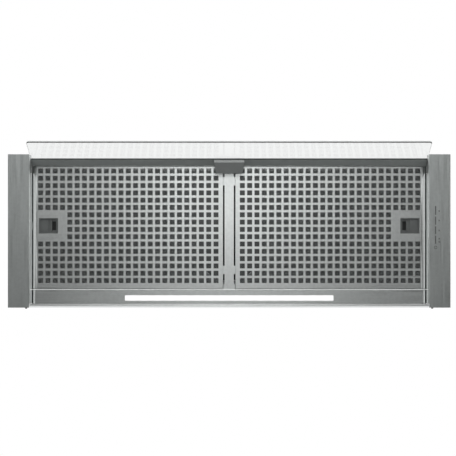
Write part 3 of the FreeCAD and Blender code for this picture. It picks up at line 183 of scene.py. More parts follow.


# painted shade: the flanges get a darker copy of the sheet for the shade at the sides
shaded_flange_steel = brushed_steel("shaded_flange_steel", (0.500, 0.527, 0.518), 0.36, 1)
filter_steel = brushed_steel("filter_steel", (0.590, 0.614, 0.605), 0.34, 0)
rail_steel = brushed_steel("rail_steel", (0.590, 0.616, 0.606), 0.35, 0)
mullion_steel = brushed_steel("mullion_steel", (0.600, 0.624, 0.615), 0.34, 1)
# painted highlight: the hem's steel is a paler copy of the rail's
lit_hem_steel = brushed_steel("lit_hem_steel", (0.750, 0.772, 0.764), 0.42, 0, 0.04)
# painted highlight: the rear rail's steel is a paler copy of the sheet
lit_rear_steel = brushed_steel("lit_rear_steel", (0.780, 0.802, 0.794), 0.36, 0, 0.05)
print("steel finishes:", [m.name for m in bpy.data.materials if m.name.endswith("_steel")])

# %% [markdown]
# ### Galvanised sheet
#
# What hides in the cabinet is zinc-coated sheet. Zinc freezes in flat crystals, called
# spangle. A Voronoi texture has just such cells: each gets its own tone and roughness.

# %% Galvanised sheet
SPANGLE = 150.0                    # crystals per metre


def galvanised(name, colour):
    material, tree, shader = new_material(name, 1.0)
    cells = tree.nodes.new("ShaderNodeTexVoronoi")
    cells.inputs["Scale"].default_value = SPANGLE
    cells.inputs["Randomness"].default_value = 0.9
    tree.links.new(object_place(tree), cells.inputs["Vector"])
    tone = tree.nodes.new("ShaderNodeSeparateColor")
    tree.links.new(cells.outputs["Color"], tone.inputs["Color"])
    set_colour(tree, shader, tone.outputs["Red"], toned(colour, 0.92), toned(colour, 1.06))
    tree.links.new(map_range(tree, tone.outputs["Green"], target=(0.36, 0.50)),
                   shader.inputs["Roughness"])
    relief(tree, shader, noise_field(tree, 300.0), 0.00003)
    return material


zinc_sheet = galvanised("zinc_sheet", (0.52, 0.545, 0.555))
print("made", zinc_sheet.name)

# %% [markdown]
# ### Moulded plastics, rubber and painted metal
#
# These finishes are not metal: light enters a little and comes back coloured. A fine noise
# gives the spark-eroded texture of a mould, and a slow one the uneven sheen.

# %% Plastics and paint
def moulded(name, colour, roughness, grain=1400.0, depth=0.00004, spread=0.12):
    material, tree, shader = new_material(name)
    slow = noise_field(tree, 45.0)
    fine = noise_field(tree, grain, (1, 1, 1), 2.0)
    set_colour(tree, shader, map_range(tree, slow, NOISE_MIDDLE),
               toned(colour, 1 - spread), toned(colour, 1 + spread))
    set_roughness(tree, shader, fine, roughness - 0.07, roughness + 0.07)
    relief(tree, shader, fine, depth)
    return material


latch_plastic = moulded("latch_plastic", (0.100, 0.108, 0.106), 0.55)
bolt_plastic = moulded("bolt_plastic", (0.104, 0.112, 0.110), 0.50)
visor_dark = moulded("visor_dark", (0.200, 0.215, 0.210), 0.42, 900.0, 0.00002, 0.06)
handle_dark = moulded("handle_dark", (0.132, 0.142, 0.139), 0.40, 900.0, 0.00002, 0.06)
ear_dark = moulded("ear_dark", (0.200, 0.212, 0.208), 0.45)
# painted shade: near black for the lids that make the latch slots look black
slot_shade_black = moulded("slot_shade_black", (0.010, 0.011, 0.011), 0.70)
black_plastic = moulded("black_plastic", (0.020, 0.020, 0.021), 0.50)
scroll_plastic = moulded("scroll_plastic", (0.045, 0.046, 0.048), 0.55, 700.0, 0.00006)
white_plastic = moulded("white_plastic", (0.70, 0.70, 0.68), 0.35, 900.0, 0.00002, 0.04)
board_white = moulded("board_white", (0.62, 0.66, 0.63), 0.50, 500.0, 0.00002, 0.05)
stop_rubber = moulded("stop_rubber", (0.015, 0.015, 0.015), 0.80, 500.0)
motor_paint = moulded("motor_paint", (0.050, 0.053, 0.056), 0.45, 800.0, 0.00003)
print("moulded and painted finishes are ready")

# %% [markdown]
# ### Turned metals
#
# Shafts, pins and bushes come off a lathe. The tool leaves fine rings round them. Noise that
# is squeezed hard along the axis of the turning draws the same rings.

# %% Turned metals
def turned_metal(name, colour, roughness):
    """Metal with fine round tool marks about the X axis, as on shafts and pins."""
    material, tree, shader = new_material(name, 1.0)
    marks = noise_field(tree, 1.0, (2500.0, 120.0, 120.0), 2.0)
    set_colour(tree, shader, map_range(tree, marks, NOISE_MIDDLE), toned(colour, 0.9), colour)
    set_roughness(tree, shader, marks, roughness - 0.06, roughness + 0.08)
    relief(tree, shader, marks, 0.00001)
    return material


pin_steel = turned_metal("pin_steel", (0.55, 0.56, 0.56), 0.28)
wheel_metal = turned_metal("wheel_metal", (0.50, 0.51, 0.52), 0.36)
bearing_bronze = turned_metal("bearing_bronze", (0.55, 0.38, 0.18), 0.35)
lamination_steel = turned_metal("lamination_steel", (0.22, 0.22, 0.23), 0.45)
print("turned finishes are ready")

# %% [markdown]
# ### Clear glass and the opal light cover
#
# The visor is float glass: no colour of its own, and a faint green in its depth. The light
# cover is opal, so it glows evenly. Its glow is a little brighter over each emitter behind it,
# and fades towards its long edges, which lie farther from the emitters.

# %% Glass and light
LIGHT_MIDDLE = 0.136               # Y of the light bar's middle line, in metres
FADE_START, FADE_END = 0.0042, 0.0060


def clear_glass(name):
    material, tree, shader = new_material(name)
    smear = noise_field(tree, 18.0, (1, 1, 1), 2.0)
    set_colour(tree, shader, map_range(tree, smear, NOISE_MIDDLE),
               (0.968, 0.976, 0.972), (0.976, 0.984, 0.980))
    shader.inputs["Roughness"].default_value = 0.0
    shader.inputs["IOR"].default_value = 1.5
    shader.inputs["Transmission Weight"].default_value = 1.0
    return material


def opal_light(name):
    material, tree, shader = new_material(name)
    wave = tree.nodes.new("ShaderNodeTexWave")
    wave.inputs["Scale"].default_value = 12.0
    tree.links.new(object_place(tree), wave.inputs["Vector"])
    glow = map_range(tree, wave.outputs["Fac"], target=(0.94, 1.00))
    aside = calculate(tree, "ABSOLUTE",
                      calculate(tree, "SUBTRACT", object_axis(tree, "Y"), LIGHT_MIDDLE))
    dim = map_range(tree, aside, (FADE_START, FADE_END), (1.0, 0.50))
    tree.links.new(calculate(tree, "MULTIPLY", glow, dim), shader.inputs["Emission Strength"])
    shader.inputs["Emission Color"].default_value = (1.0, 1.0, 1.0, 1)
    shader.inputs["Base Color"].default_value = (0.12, 0.12, 0.12, 1)
    shader.inputs["Roughness"].default_value = 0.35
    return material


visor_clear = clear_glass("visor_clear")
opal_glow = opal_light("opal_glow")
print("glass and light are ready")

# %% [markdown]
# ## Tools for making pieces
#
# A piece is built as a mesh in code, given to a body so that it moves with it, and finished
# with a small bevel. No real edge is perfectly sharp, and the bevel is what catches a line of
# light along it.

# %% Small building tools
CREASE = math.radians(35)          # sharper edges are rounded and stay crisp in the shading


def soften(piece, width, segments=2):
    """Round every sharp edge by a width in millimetres."""
    bevel = piece.modifiers.new("soft_edges", "BEVEL")
    bevel.width = width * MM
    bevel.segments = segments
    bevel.limit_method = "ANGLE"
    bevel.angle_limit = CREASE
    bevel.harden_normals = False


def finish_piece(name, bm, body, material, replaces=(), edge=0.0, segments=2):
    """Turn a bmesh in metres into a piece that rides on a body."""
    bmesh.ops.remove_doubles(bm, verts=bm.verts, dist=1e-7)
    bmesh.ops.recalc_face_normals(bm, faces=bm.faces)
    mesh = bpy.data.meshes.new(name)
    bm.to_mesh(mesh)
    bm.free()
    piece = bpy.data.objects.new(name, mesh)
    bpy.context.scene.collection.objects.link(piece)
    mesh.materials.append(material)
    mesh.shade_smooth()
    mesh.set_sharp_from_angle(angle=CREASE)
    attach(piece, body)
    if replaces:
        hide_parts(*replaces)
    if edge:
        soften(piece, edge, segments)
    print(name, "has", len(mesh.polygons), "faces and is, in mm,",
          [round(d / MM, 1) for d in piece.dimensions])
    return piece


def add_box(bm, low, high):
    """A closed box between two corners, in millimetres."""
    corners = [bm.verts.new((x * MM, y * MM, z * MM))
               for x in (low[0], high[0]) for y in (low[1], high[1]) for z in (low[2], high[2])]
    for quad in ((0, 1, 3, 2), (4, 6, 7, 5), (0, 4, 5, 1), (2, 3, 7, 6), (0, 2, 6, 4),
                 (1, 5, 7, 3)):
        bm.faces.new([corners[i] for i in quad])


def add_prism(bm, outline, axis, start, end):
    """Push a closed outline of (a, b) points, in millimetres, along an axis."""
    def place(a, b, c):
        point = {0: (c, a, b), 1: (a, c, b), 2: (a, b, c)}[axis]
        return bm.verts.new([p * MM for p in point])

    near = [place(a, b, start) for a, b in outline]
    far = [place(a, b, end) for a, b in outline]
    bm.faces.new(near)
    bm.faces.new(far[::-1])
    count = len(outline)
    for i in range(count):
        bm.faces.new((near[i], near[(i + 1) % count], far[(i + 1) % count], far[i]))


def add_rod(bm, radius, start, direction, length, sides=32, end_radius=None):
    """A round bar or cone, in millimetres."""
    turn = Vector(direction).to_track_quat("Z", "Y").to_matrix().to_4x4()
    middle = Vector(start) + Vector(direction).normalized() * (length / 2)
    bmesh.ops.create_cone(bm, cap_ends=True, segments=sides, radius1=radius * MM,
                          radius2=(radius if end_radius is None else end_radius) * MM,
                          depth=length * MM, matrix=Matrix.Translation(middle * MM) @ turn)


def loft(bm, rings, endless=False):
    """Join rings of equally many points. The last joins the first, or both ends are closed."""
    count = len(rings[0])
    for one, two in zip(rings, rings[1:] + (rings[:1] if endless else [])):
        for i in range(count):
            bm.faces.new((one[i], one[(i + 1) % count], two[(i + 1) % count], two[i]))
    if not endless:
        bm.faces.new(rings[0])
        bm.faces.new(rings[-1])


def add_ring(bm, centre, section, sides=96):
    """Turn a closed (radius, height) section, in millimetres, round an upright axis."""
    turns = [2 * math.pi * i / sides for i in range(sides)]
    loft(bm, [[bm.verts.new(((centre[0] + r * math.cos(a)) * MM,
                             (centre[1] + r * math.sin(a)) * MM, z * MM))
               for r, z in section] for a in turns], endless=True)


def thicken(bm, height):
    """Push a flat or bent sheet up by its thickness, in millimetres."""
    bmesh.ops.recalc_face_normals(bm, faces=bm.faces)
    pushed = bmesh.ops.extrude_face_region(bm, geom=list(bm.faces))
    top = [v for v in pushed["geom"] if isinstance(v, bmesh.types.BMVert)]
    bmesh.ops.translate(bm, verts=top, vec=(0, 0, height * MM))


def arc_points(centre, radius, start, end, steps):
    """Points on an arc, angles in degrees."""
    return [(centre[0] + radius * math.cos(math.radians(start + (end - start) * i / steps)),
             centre[1] + radius * math.sin(math.radians(start + (end - start) * i / steps)))
            for i in range(steps + 1)]


print("building tools are ready")

# %% [markdown]
# ## The sheet-metal body
#
# These nodes are already right in shape, so they stay. A bevel of a few tenths of a millimetre
# gives them the edge that a punched and folded sheet has.

# %% Dress the frame's own nodes
def dress(node, material, edge=0.0, segments=2):
    piece = nodes[node]
    piece.data.materials.clear()
    piece.data.materials.append(material)
    if edge:
        soften(piece, edge, segments)


for side in ("left", "right"):
    dress("flange_" + side, shaded_flange_steel, 0.30)
    dress("visor_ear_" + side, ear_dark, 0.35)
    dress("scroll_" + side, scroll_plastic, 0.3)
    dress("latch_housing_" + side, latch_plastic, 0.35)
    dress("latch_bolt_" + side, bolt_plastic, 0.25)
    dress("visor_cap_" + side, visor_dark, 0.4)
dress("front_rail", rail_steel, 0.25)
dress("centre_mullion", mullion_steel, 0.3)
for node in ("housing_lower", "fan_box", "fan_box_foot", "collar_plate", "duct_collar",
             "motor_bracket"):
    dress(node, zinc_sheet, 0.3)
for node in ("terminal_box", "terminal_cover", "cable_gland", "control_module"):
    dress(node, black_plastic, 0.5)
for node in ("damper_flap_front", "damper_flap_rear"):
    dress(node, black_plastic, 0.2)
for node in ("led_driver", "capacitor"):
    dress(node, white_plastic, 0.6)
for node in ("impeller_disc", "impeller_rings", "impeller_blades", "impeller_hub"):
    dress(node, wheel_metal)
for node in ("motor_shaft", "damper_pins", "visor_pins", "housing_screws", "collar_screws"):
    dress(node, pin_steel)
for node in ("motor_rotor", "motor_stator"):
    dress(node, lamination_steel)
dress("motor_can", motor_paint, 0.6)
dress("motor_bushes", bearing_bronze)
dress("led_board", board_white)
dress("rear_stops", stop_rubber, 0.2)
dress("light_diffuser", opal_glow, 0.2)
dress("visor_holder", visor_dark, 0.7, 3)
print("dressed", len([n for n in nodes.values() if n.data.materials]), "frame nodes")

# %% [markdown]
# ### The darkened inside of the mullion
#
# Only the face of the mullion is brushed. Above it, its punched edges and the folded lips between
# the filters are painted dark as painted shade, so the two slots beside it look black from below.
# The material does this alone: it fades to the painted shade with the height.

# %% Darken the mullion above its face
PAINTED_SHADE = (0.012, 0.013, 0.013)


def paint_shade_above(material, height, fade):
    """Blend a metal to a dark painted shade above a height, in metres, in object space."""
    tree = material.node_tree
    shader = tree.nodes["Principled BSDF"]
    mix = tree.nodes.new("ShaderNodeMix")
    mix.data_type = "RGBA"
    tree.links.new(map_range(tree, object_axis(tree, "Z"), (height, height + fade)),
                   mix.inputs["Factor"])
    tree.links.new(shader.inputs["Base Color"].links[0].from_socket, mix.inputs["A"])
    mix.inputs["B"].default_value = (*PAINTED_SHADE, 1)
    tree.links.new(mix.outputs["Result"], shader.inputs["Base Color"])


# painted shade: the mullion turns dark above its face, for the dark slots beside it
paint_shade_above(mullion_steel, -0.0010, 0.0003)
print(mullion_steel.name, "now has", len(mullion_steel.node_tree.nodes), "nodes")

# %% [markdown]
# ### The rail with the bright line
#
# Behind the filters runs a rail whose lower edge is folded double, a hem. On the real hood this
# shows as one bright line, because the fold is round and so mirrors the pale room from its flanks.
# A flat strip would look as dark as the sheet beside it. So the section is drawn again with a
# round fold and pushed from flange to flange. Its steel is also a paler copy of the sheet, a
# painted highlight that adds to the line.

# %% Cross rail with its rolled hem
rail_low, rail_high = in_mm(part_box("cross_rail"))
UNDERSIDE = -1.2                   # height of the visible face
STEEL = 1.2                        # thickness of the sheet
HEM_RADIUS = 0.9


def rolled_rail():
    hem_front = rail_low.y
    hem_rear = hem_front + 2 * HEM_RADIUS
    curl = arc_points((hem_front + HEM_RADIUS, rail_low.z + HEM_RADIUS), HEM_RADIUS, 180, 360, 8)
    top = rail_high.z
    section = (curl + [(hem_rear, top - STEEL), (rail_high.y, top - STEEL), (rail_high.y, top),
                       (hem_rear - STEEL, top), (hem_rear - STEEL, UNDERSIDE + 0.3),
                       (hem_front, UNDERSIDE + 0.3)])
    bm = bmesh.new()
    add_prism(bm, section, 0, rail_low.x, rail_high.x)
    return bm


finish_piece("rolled_rail", rolled_rail(), "body", lit_hem_steel, ["cross_rail"],
             0.15, 1)

# %% [markdown]
# ### The rear rail
#
# The lip of the rear rail leans a little towards the lamps, so it brightens towards the edge. The
# edge itself is a chamfer: it mirrors the bright room behind the hood and looks almost white. Its
# steel is also a paler copy of the sheet, a painted highlight on top of those. The section is
# drawn in the side view and pushed from end to end.

# %% Rear rail with its chamfer
rear_low, rear_high = in_mm(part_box("rear_rail"))
LIP = 4.6                          # width of the face ahead of the chamfer


def rear_section():
    front, edge, back = rear_low.y, rear_low.y + LIP, rear_high.y
    under = [(front, UNDERSIDE), (front + 1.6, UNDERSIDE - 0.02), (front + 3.2, UNDERSIDE - 0.09),
             (edge - 0.5, UNDERSIDE - 0.19), (edge, UNDERSIDE - 0.15), (edge + 0.5, UNDERSIDE),
             (back - 0.8, UNDERSIDE + 1.65), (back - 0.2, UNDERSIDE + 2.2),
             (back, UNDERSIDE + 3.0)]
    return under + [(back, rear_high.z), (back - STEEL, rear_high.z),
                    (back - STEEL, UNDERSIDE + 3.4), (edge, UNDERSIDE + STEEL),
                    (front, UNDERSIDE + STEEL)]


bm = bmesh.new()
add_prism(bm, rear_section(), 0, rear_low.x, rear_high.x)
finish_piece("chamfered_rear_rail", bm, "body", lit_rear_steel, ["rear_rail"],
             0.12, 1)

# %% [markdown]
# ### The light panel
#
# The ends of this strip turn up in the same wide soft bend as the filters beside it, so its
# ends show the same pale band. It is a grid of a few cells, where each column is lifted by the
# curve of the bend, and the cells of the window are left out.

# %% Light panel with bent ends
FOLD_HEIGHT = 2.2                  # how far the soft folds rise
FOLD_OUTER = 8.0                   # how wide they show from below
BULGE = 0.5                        # the outer bend stands this far past the flat sheet
panel_low, panel_high = in_mm(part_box("light_panel"))
WINDOW_HALF, WINDOW_FRONT, WINDOW_REAR = 211.5, 130.0, 142.0


def fold_rise(distance):
    """Height of the soft fold, at a distance outside its start."""
    share = min(max(distance / FOLD_OUTER, 0.0), 1.0)
    return FOLD_HEIGHT * (1 - math.sqrt(1 - share * share))


def light_panel():
    bm = bmesh.new()
    bend = panel_high.x + BULGE - FOLD_OUTER
    right = [bend + FOLD_OUTER * math.sin(math.radians(15 * i)) for i in range(7)]
    xs = [-x for x in right[::-1]] + [-WINDOW_HALF, WINDOW_HALF] + right
    ys = [panel_low.y, WINDOW_FRONT, WINDOW_REAR, panel_high.y]
    under = [[bm.verts.new((x * MM, y * MM, (UNDERSIDE + fold_rise(abs(x) - bend)) * MM))
              for y in ys] for x in xs]
    for i in range(len(xs) - 1):
        for j in range(3):
            if j == 1 and abs(xs[i] + xs[i + 1]) < 1.0:
                continue
            bm.faces.new((under[i][j], under[i + 1][j], under[i + 1][j + 1], under[i][j + 1]))
    thicken(bm, STEEL)
    for y0, y1 in ((panel_low.y, panel_low.y + STEEL), (panel_high.y - STEEL, panel_high.y)):
        add_box(bm, (-bend, y0, UNDERSIDE + 0.5), (bend, y1, panel_high.z))
    for side in (-1, 1):
        outer, inner = side * (panel_high.x + BULGE), side * (panel_high.x + BULGE - STEEL)
        add_box(bm, (min(outer, inner), panel_low.y, UNDERSIDE + FOLD_HEIGHT),
                (max(outer, inner), panel_high.y, panel_high.z))
    return bm


finish_piece("bent_light_panel", light_panel(), "body", rail_steel, ["light_panel"],
             0.12, 1)

# %% [markdown]
# ## What the cabinet hides
#
# A large flat sheet drums when the fan runs. So the maker presses beads into it: low rounded
# ribs with round ends. The walls of the fan box lap at the corners and are spot-welded,
# and its lid is a shallow tray that is screwed on. All this could be painted with a bump
# texture, but the light only catches it well, and the exported meshes only keep it, when it
# is real geometry.

# %% Beads pressed into the sheets
def on_face(face, at, across, up, out):
    """A point on a wall: how far along it, up it, and out of it, in millimetres."""
    return {"front": (across, at - out, up), "rear": (across, at + out, up),
            "left": (at - out, across, up), "right": (at + out, across, up),
            "top": (across, up, at + out)}[face]


def stadium(length, width, inset, steps=8):
    """Outline of a slot with round ends, shrunk by inset."""
    radius, straight = width / 2 - inset, (length - width) / 2
    return (arc_points((straight, 0), radius, -90, 90, steps)
            + arc_points((-straight, 0), radius, 90, 270, steps))


def wall_ring(bm, face, at, centre, points, out):
    """A ring of vertices on a wall, from (across, up) points about a centre."""
    return [bm.verts.new([c * MM for c in on_face(face, at, centre[0] + a, centre[1] + b, out)])
            for a, b in points]


def add_bead(bm, face, at, centre, length, upright=False, width=11.0):
    """A rib on a wall, in five rings from the flat sheet to its crown."""
    rings = []
    for inset, out in ((0.0, -0.3), (0.4, 0.2), (1.6, 1.3), (2.9, 2.0), (width / 2 - 0.5, 2.3)):
        points = stadium(length, width, inset)
        if upright:
            points = [(b, a) for a, b in points]
        rings.append(wall_ring(bm, face, at, centre, points, out))
    loft(bm, rings)


fan_low, fan_high = in_mm(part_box("fan_box"))
low_box_low, low_box_high = in_mm(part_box("housing_lower"))
bm = bmesh.new()
for z in (108.0, 168.0):
    add_bead(bm, "front", fan_low.y, (0.0, z), 400.0)
    add_bead(bm, "rear", fan_high.y, (0.0, z), 400.0)
    add_bead(bm, "left", fan_low.x, (5.0, z), 200.0)
    add_bead(bm, "right", fan_high.x, (5.0, z), 200.0)
for x in (-200.0, -150.0, 150.0, 200.0):
    add_bead(bm, "top", fan_high.z, (x, 5.0), 210.0, upright=True)
for y in (-95.0, -35.0, 25.0, 85.0):
    add_bead(bm, "top", low_box_high.z, (-327.0, y), 112.0)
for y in (-95.0, -35.0):
    add_bead(bm, "top", low_box_high.z, (327.0, y), 112.0)
for face, at in (("left", low_box_low.x), ("right", low_box_high.x)):
    add_bead(bm, face, at, (0.0, 45.0), 120.0, width=9.0)
add_bead(bm, "front", low_box_low.y, (0.0, 46.0), 690.0, width=9.0)
add_bead(bm, "rear", low_box_high.y, (0.0, 44.0), 690.0, width=9.0)
finish_piece("pressed_beads", bm, "body", zinc_sheet)

# %% [markdown]
# ### Lid, lapped corners and spot welds
#
# The lid's rim stands over the walls by the thickness of the sheet. At each corner one
# wall turns round the other, and a row of spot welds holds it. A spot weld leaves a shallow
# round mark with a raised rim, where the metal was squeezed out.

# %% Lid rim and corner laps
LAP = 0.9                          # how far the laps and the rim stand out
RIM = 13.0                         # depth of the lid's rim


def add_weld(bm, face, at, centre):
    loft(bm, [wall_ring(bm, face, at, centre, arc_points((0, 0), radius, 0, 337.5, 15), out)
              for radius, out in ((3.1, -0.2), (3.0, 0.25), (2.5, 0.30), (2.1, 0.05))])


bm = bmesh.new()
rim_low = fan_high.z - RIM
for y0, y1 in ((fan_low.y - LAP, fan_low.y + 0.1), (fan_high.y - 0.1, fan_high.y + LAP)):
    add_box(bm, (fan_low.x - LAP, y0, rim_low), (fan_high.x + LAP, y1, fan_high.z - 0.05))
    for x0, x1 in ((fan_low.x, fan_low.x + 17), (fan_high.x - 17, fan_high.x)):
        add_box(bm, (x0, y0, fan_low.z + 1.3), (x1, y1, rim_low - 1.2))
for x0, x1 in ((fan_low.x - LAP, fan_low.x + 0.1), (fan_high.x - 0.1, fan_high.x + LAP)):
    add_box(bm, (x0, fan_low.y, rim_low), (x1, fan_high.y, fan_high.z - 0.05))
for z in (80.0, 112.0, 144.0, 176.0, 208.0):
    for x in (fan_low.x + 8.5, fan_high.x - 8.5):
        add_weld(bm, "front", fan_low.y - LAP, (x, z))
        add_weld(bm, "rear", fan_high.y + LAP, (x, z))
for y in (-125.0, -65.0, 5.0, 75.0, 135.0):
    for x in (low_box_low.x + 9.0, low_box_high.x - 9.0):
        add_weld(bm, "top", low_box_high.z, (x, y))
finish_piece("lid_and_laps", bm, "body", zinc_sheet, edge=0.25,
             segments=1)

# %% [markdown]
# ### Sheet-metal screws
#
# The lid and the foot of the fan box are held by screws with a hexagon head on a round
# washer, because a power driver holds these best. Each is built from rings on the wall:
# round ones for the washer, and six-sided ones for the head.

# %% Hexagon-head screws
def head_points(radius, sides, turn):
    """24 points on a circle, or on the hexagon inside it."""
    points = []
    for i in range(24):
        a = 2 * math.pi * i / 24
        reach = radius
        if sides == 6:
            flat = (a % (math.pi / 3)) - math.pi / 6
            reach = radius * math.cos(math.pi / 6) / math.cos(flat)
        points.append((reach * math.cos(a + turn), reach * math.sin(a + turn)))
    return points


def add_hex_screw(bm, face, at, centre, turn):
    loft(bm, [wall_ring(bm, face, at, centre, head_points(radius, sides, turn), out)
              for radius, out, sides in ((5.0, -0.2, 24), (5.0, 0.5, 24), (4.6, 0.9, 24),
                                         (3.4, 1.0, 6), (3.4, 3.3, 6), (2.9, 3.8, 6))])


foot_low, foot_high = in_mm(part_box("fan_box_foot"))
bm = bmesh.new()
screw_row = rim_low + RIM / 2
for x in (-180.0, 0.0, 180.0):
    add_hex_screw(bm, "front", fan_low.y - LAP, (x, screw_row), 0.2 + x)
    add_hex_screw(bm, "rear", fan_high.y + LAP, (x, screw_row), 0.2 - x)
for y in (-80.0, 90.0):
    add_hex_screw(bm, "left", fan_low.x - LAP, (y, screw_row), y)
    add_hex_screw(bm, "right", fan_high.x + LAP, (y, screw_row), -y)
for x in (-225.0, -135.0, -45.0, 45.0, 135.0, 225.0):
    add_hex_screw(bm, "top", foot_high.z, (x, (foot_low.y + fan_low.y) / 2), x)
    add_hex_screw(bm, "top", foot_high.z, (x, (foot_high.y + fan_high.y) / 2), 2 * x)
for y in (-80.0, 5.0, 90.0):
    for x in ((foot_low.x + fan_low.x) / 2, (foot_high.x + fan_high.x) / 2):
        add_hex_screw(bm, "top", foot_high.z, (x, y), y + x)
finish_piece("sheet_screws", bm, "body", pin_steel)

# %% [markdown]
# ### Beads on the duct collar
#
# A duct is pushed over the collar and clamped. A rolled bead half-way down keeps the clamp from
# sliding off, and the rolled lip at the top keeps the thin tube round. Both are turned round
# the collar's axis.

# %% Turned rings
collar_low, collar_high = in_mm(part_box("duct_collar"))
collar_axis = ((collar_low.x + collar_high.x) / 2, (collar_low.y + collar_high.y) / 2)
tube = (collar_high.x - collar_low.x) / 2
bm = bmesh.new()
for z, half, proud in ((270.0, 3.0, 1.6), (collar_high.z - 1.3, 1.2, 1.1)):
    add_ring(bm, collar_axis, [(tube - 0.2, z - half), (tube + 0.6 * proud, z - 0.6 * half),
                               (tube + proud, z), (tube + 0.6 * proud, z + 0.6 * half),
                               (tube - 0.2, z + half)])
rings = finish_piece("collar_beads", bm, "body", zinc_sheet)
rings.data.shade_smooth()

# %% [markdown]
# ### Mouldings on the terminal box and the control
#
# Moulded boxes are ribbed: ribs stiffen a thin wall and give a grip. The cover is held by four
# slotted screws in raised bosses.

# %% Ribs, bosses and cover screws
cover_low, cover_high = in_mm(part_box("terminal_cover"))
box_low, box_high = in_mm(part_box("terminal_box"))
module_low, module_high = in_mm(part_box("control_module"))
bm = bmesh.new()
for i in range(7):
    y = box_low.y + 11.0 + 8.0 * i
    for x0, x1 in ((box_low.x - 1.0, box_low.x + 0.2), (box_high.x - 0.2, box_high.x + 1.0)):
        add_box(bm, (x0, y - 0.9, box_low.z + 5.0), (x1, y + 0.9, box_low.z + 27.0))
for i in range(9):
    x = cover_low.x + 21.0 + 6.0 * i
    add_box(bm, (x - 0.9, cover_low.y + 16.0, cover_high.z - 0.2),
            (x + 0.9, cover_high.y - 16.0, cover_high.z + 0.7))
corners = [(x, y) for x in (cover_low.x + 8.0, cover_high.x - 8.0)
           for y in (cover_low.y + 8.0, cover_high.y - 8.0)]
for x, y in corners:
    add_rod(bm, 5.0, (x, y, cover_high.z - 0.2), (0, 0, 1), 1.0, 32, 4.7)
for i in range(7):
    y = module_low.y + 14.0 + 15.0 * i
    add_box(bm, (module_low.x + 3.0, y - 0.8, module_high.z - 0.2),
            (module_high.x - 3.0, y + 0.8, module_high.z + 0.8))
finish_piece("moulded_ribs", bm, "body", black_plastic, edge=0.25)

bm = bmesh.new()
for number, (x, y) in enumerate(corners):
    add_rod(bm, 3.0, (x, y, cover_high.z + 0.4), (0, 0, 1), 0.7, 32)
    for half_turn in (0, 180):
        turn = math.radians(50 * number + half_turn)
        outline = [(x + u * math.cos(turn) - max(v, 0.5) * math.sin(turn),
                    y + u * math.sin(turn) + max(v, 0.5) * math.cos(turn))
                   for u, v in arc_points((0, 0), 3.0, 10, 170, 10)]
        add_prism(bm, outline, 2, cover_high.z + 0.5, cover_high.z + 1.7)
finish_piece("cover_screws", bm, "body", pin_steel, edge=0.12,
             segments=1)

# %% [markdown]
# ## The perforated filter sheets
#
# Each filter shows a steel sheet with 25 columns and 16 rows of square holes, with a plain
# field around the latch. It could be a flat sheet with boolean cuts, but a grid is quicker
# and cleaner: the hole edges give all the grid lines, and a cell whose middle lies in a hole
# is left out.

# %% Where the holes are
SHEET = 0.8                        # thickness of the filter's sheet
HOLE = 10.0
PITCH = 14.83
FIRST_COLUMN, FIRST_ROW = 26.7, -121.8
COLUMNS, ROWS = 25, 16
FOLD_INNER, FOLD_FRONT, FOLD_REAR = 0.4, 0.4, 0.3   # the tight folds of the other sides
filter_low, filter_high = in_mm(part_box("filter_face_right"))
latch_low, latch_high = in_mm(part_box("latch_housing_right"))
SIDES = (("right", 1), ("left", -1))   # the left filter mirrors the right one


def is_hole(x, y):
    """True if the point lies in one of the square holes of the right filter."""
    column = round((x - FIRST_COLUMN) / PITCH)
    row = round((y - FIRST_ROW) / PITCH)
    if not (0 <= column < COLUMNS and 0 <= row < ROWS):
        return False
    if column >= COLUMNS - 4 and 6 <= row <= 9:
        return False
    near_x = abs(x - FIRST_COLUMN - column * PITCH) < HOLE / 2
    return near_x and abs(y - FIRST_ROW - row * PITCH) < HOLE / 2


def in_latch(x, y):
    return latch_low.x < x < latch_high.x and latch_low.y < y < latch_high.y


print("filter sheet in mm:", [round(c, 1) for c in filter_high - filter_low])

# %% [markdown]
# ### From grid to sheet
#
# The flat grid is pushed up by the thickness of the sheet. So each hole has real walls,
# which go dark at the side away from the light. An image of holes would stay flat.

# %% Build a perforated sheet
def grid_lines(low, high, first, count, extra):
    lines = [low, high] + list(extra)
    for index in range(count):
        lines += [first + index * PITCH - HOLE / 2, first + index * PITCH + HOLE / 2]
    return sorted(lines)


def perforated_sheet(side):
    """Sheet with real thickness; side is +1 for the right filter and -1 for the left."""
    xs = grid_lines(filter_low.x + FOLD_INNER, filter_high.x + BULGE - FOLD_OUTER, FIRST_COLUMN,
                    COLUMNS, (latch_low.x, latch_high.x))
    ys = grid_lines(filter_low.y + FOLD_FRONT, filter_high.y - FOLD_REAR, FIRST_ROW,
                    ROWS, (latch_low.y, latch_high.y))
    bm = bmesh.new()
    grid = [[bm.verts.new((side * x * MM, y * MM, UNDERSIDE * MM)) for y in ys] for x in xs]
    for i in range(len(xs) - 1):
        for j in range(len(ys) - 1):
            x, y = (xs[i] + xs[i + 1]) / 2, (ys[j] + ys[j + 1]) / 2
            if not is_hole(x, y) and not in_latch(x, y):
                bm.faces.new((grid[i][j], grid[i + 1][j], grid[i + 1][j + 1], grid[i][j + 1]))
    loose = [v for v in bm.verts if not v.link_faces]
    bmesh.ops.delete(bm, geom=loose, context="VERTS")
    thicken(bm, SHEET)
    return bm


for side, sign in SIDES:
    finish_piece("perforated_sheet_" + side, perforated_sheet(sign), "filter_" + side,
                 filter_steel, ["filter_face_" + side], 0.12, 1)

# %% [markdown]
# ### The folded frame round each filter
#
# The sheet turns up all round and ends in a lip over the mesh. The outer fold is soft and
# wide, and so shows as a pale band, while the others are tight. One section is
# carried round the rectangle. Each of its points is given as a share of the side's own
# fold, an inset beyond that, and a height. At a corner it turns through a quarter ellipse.

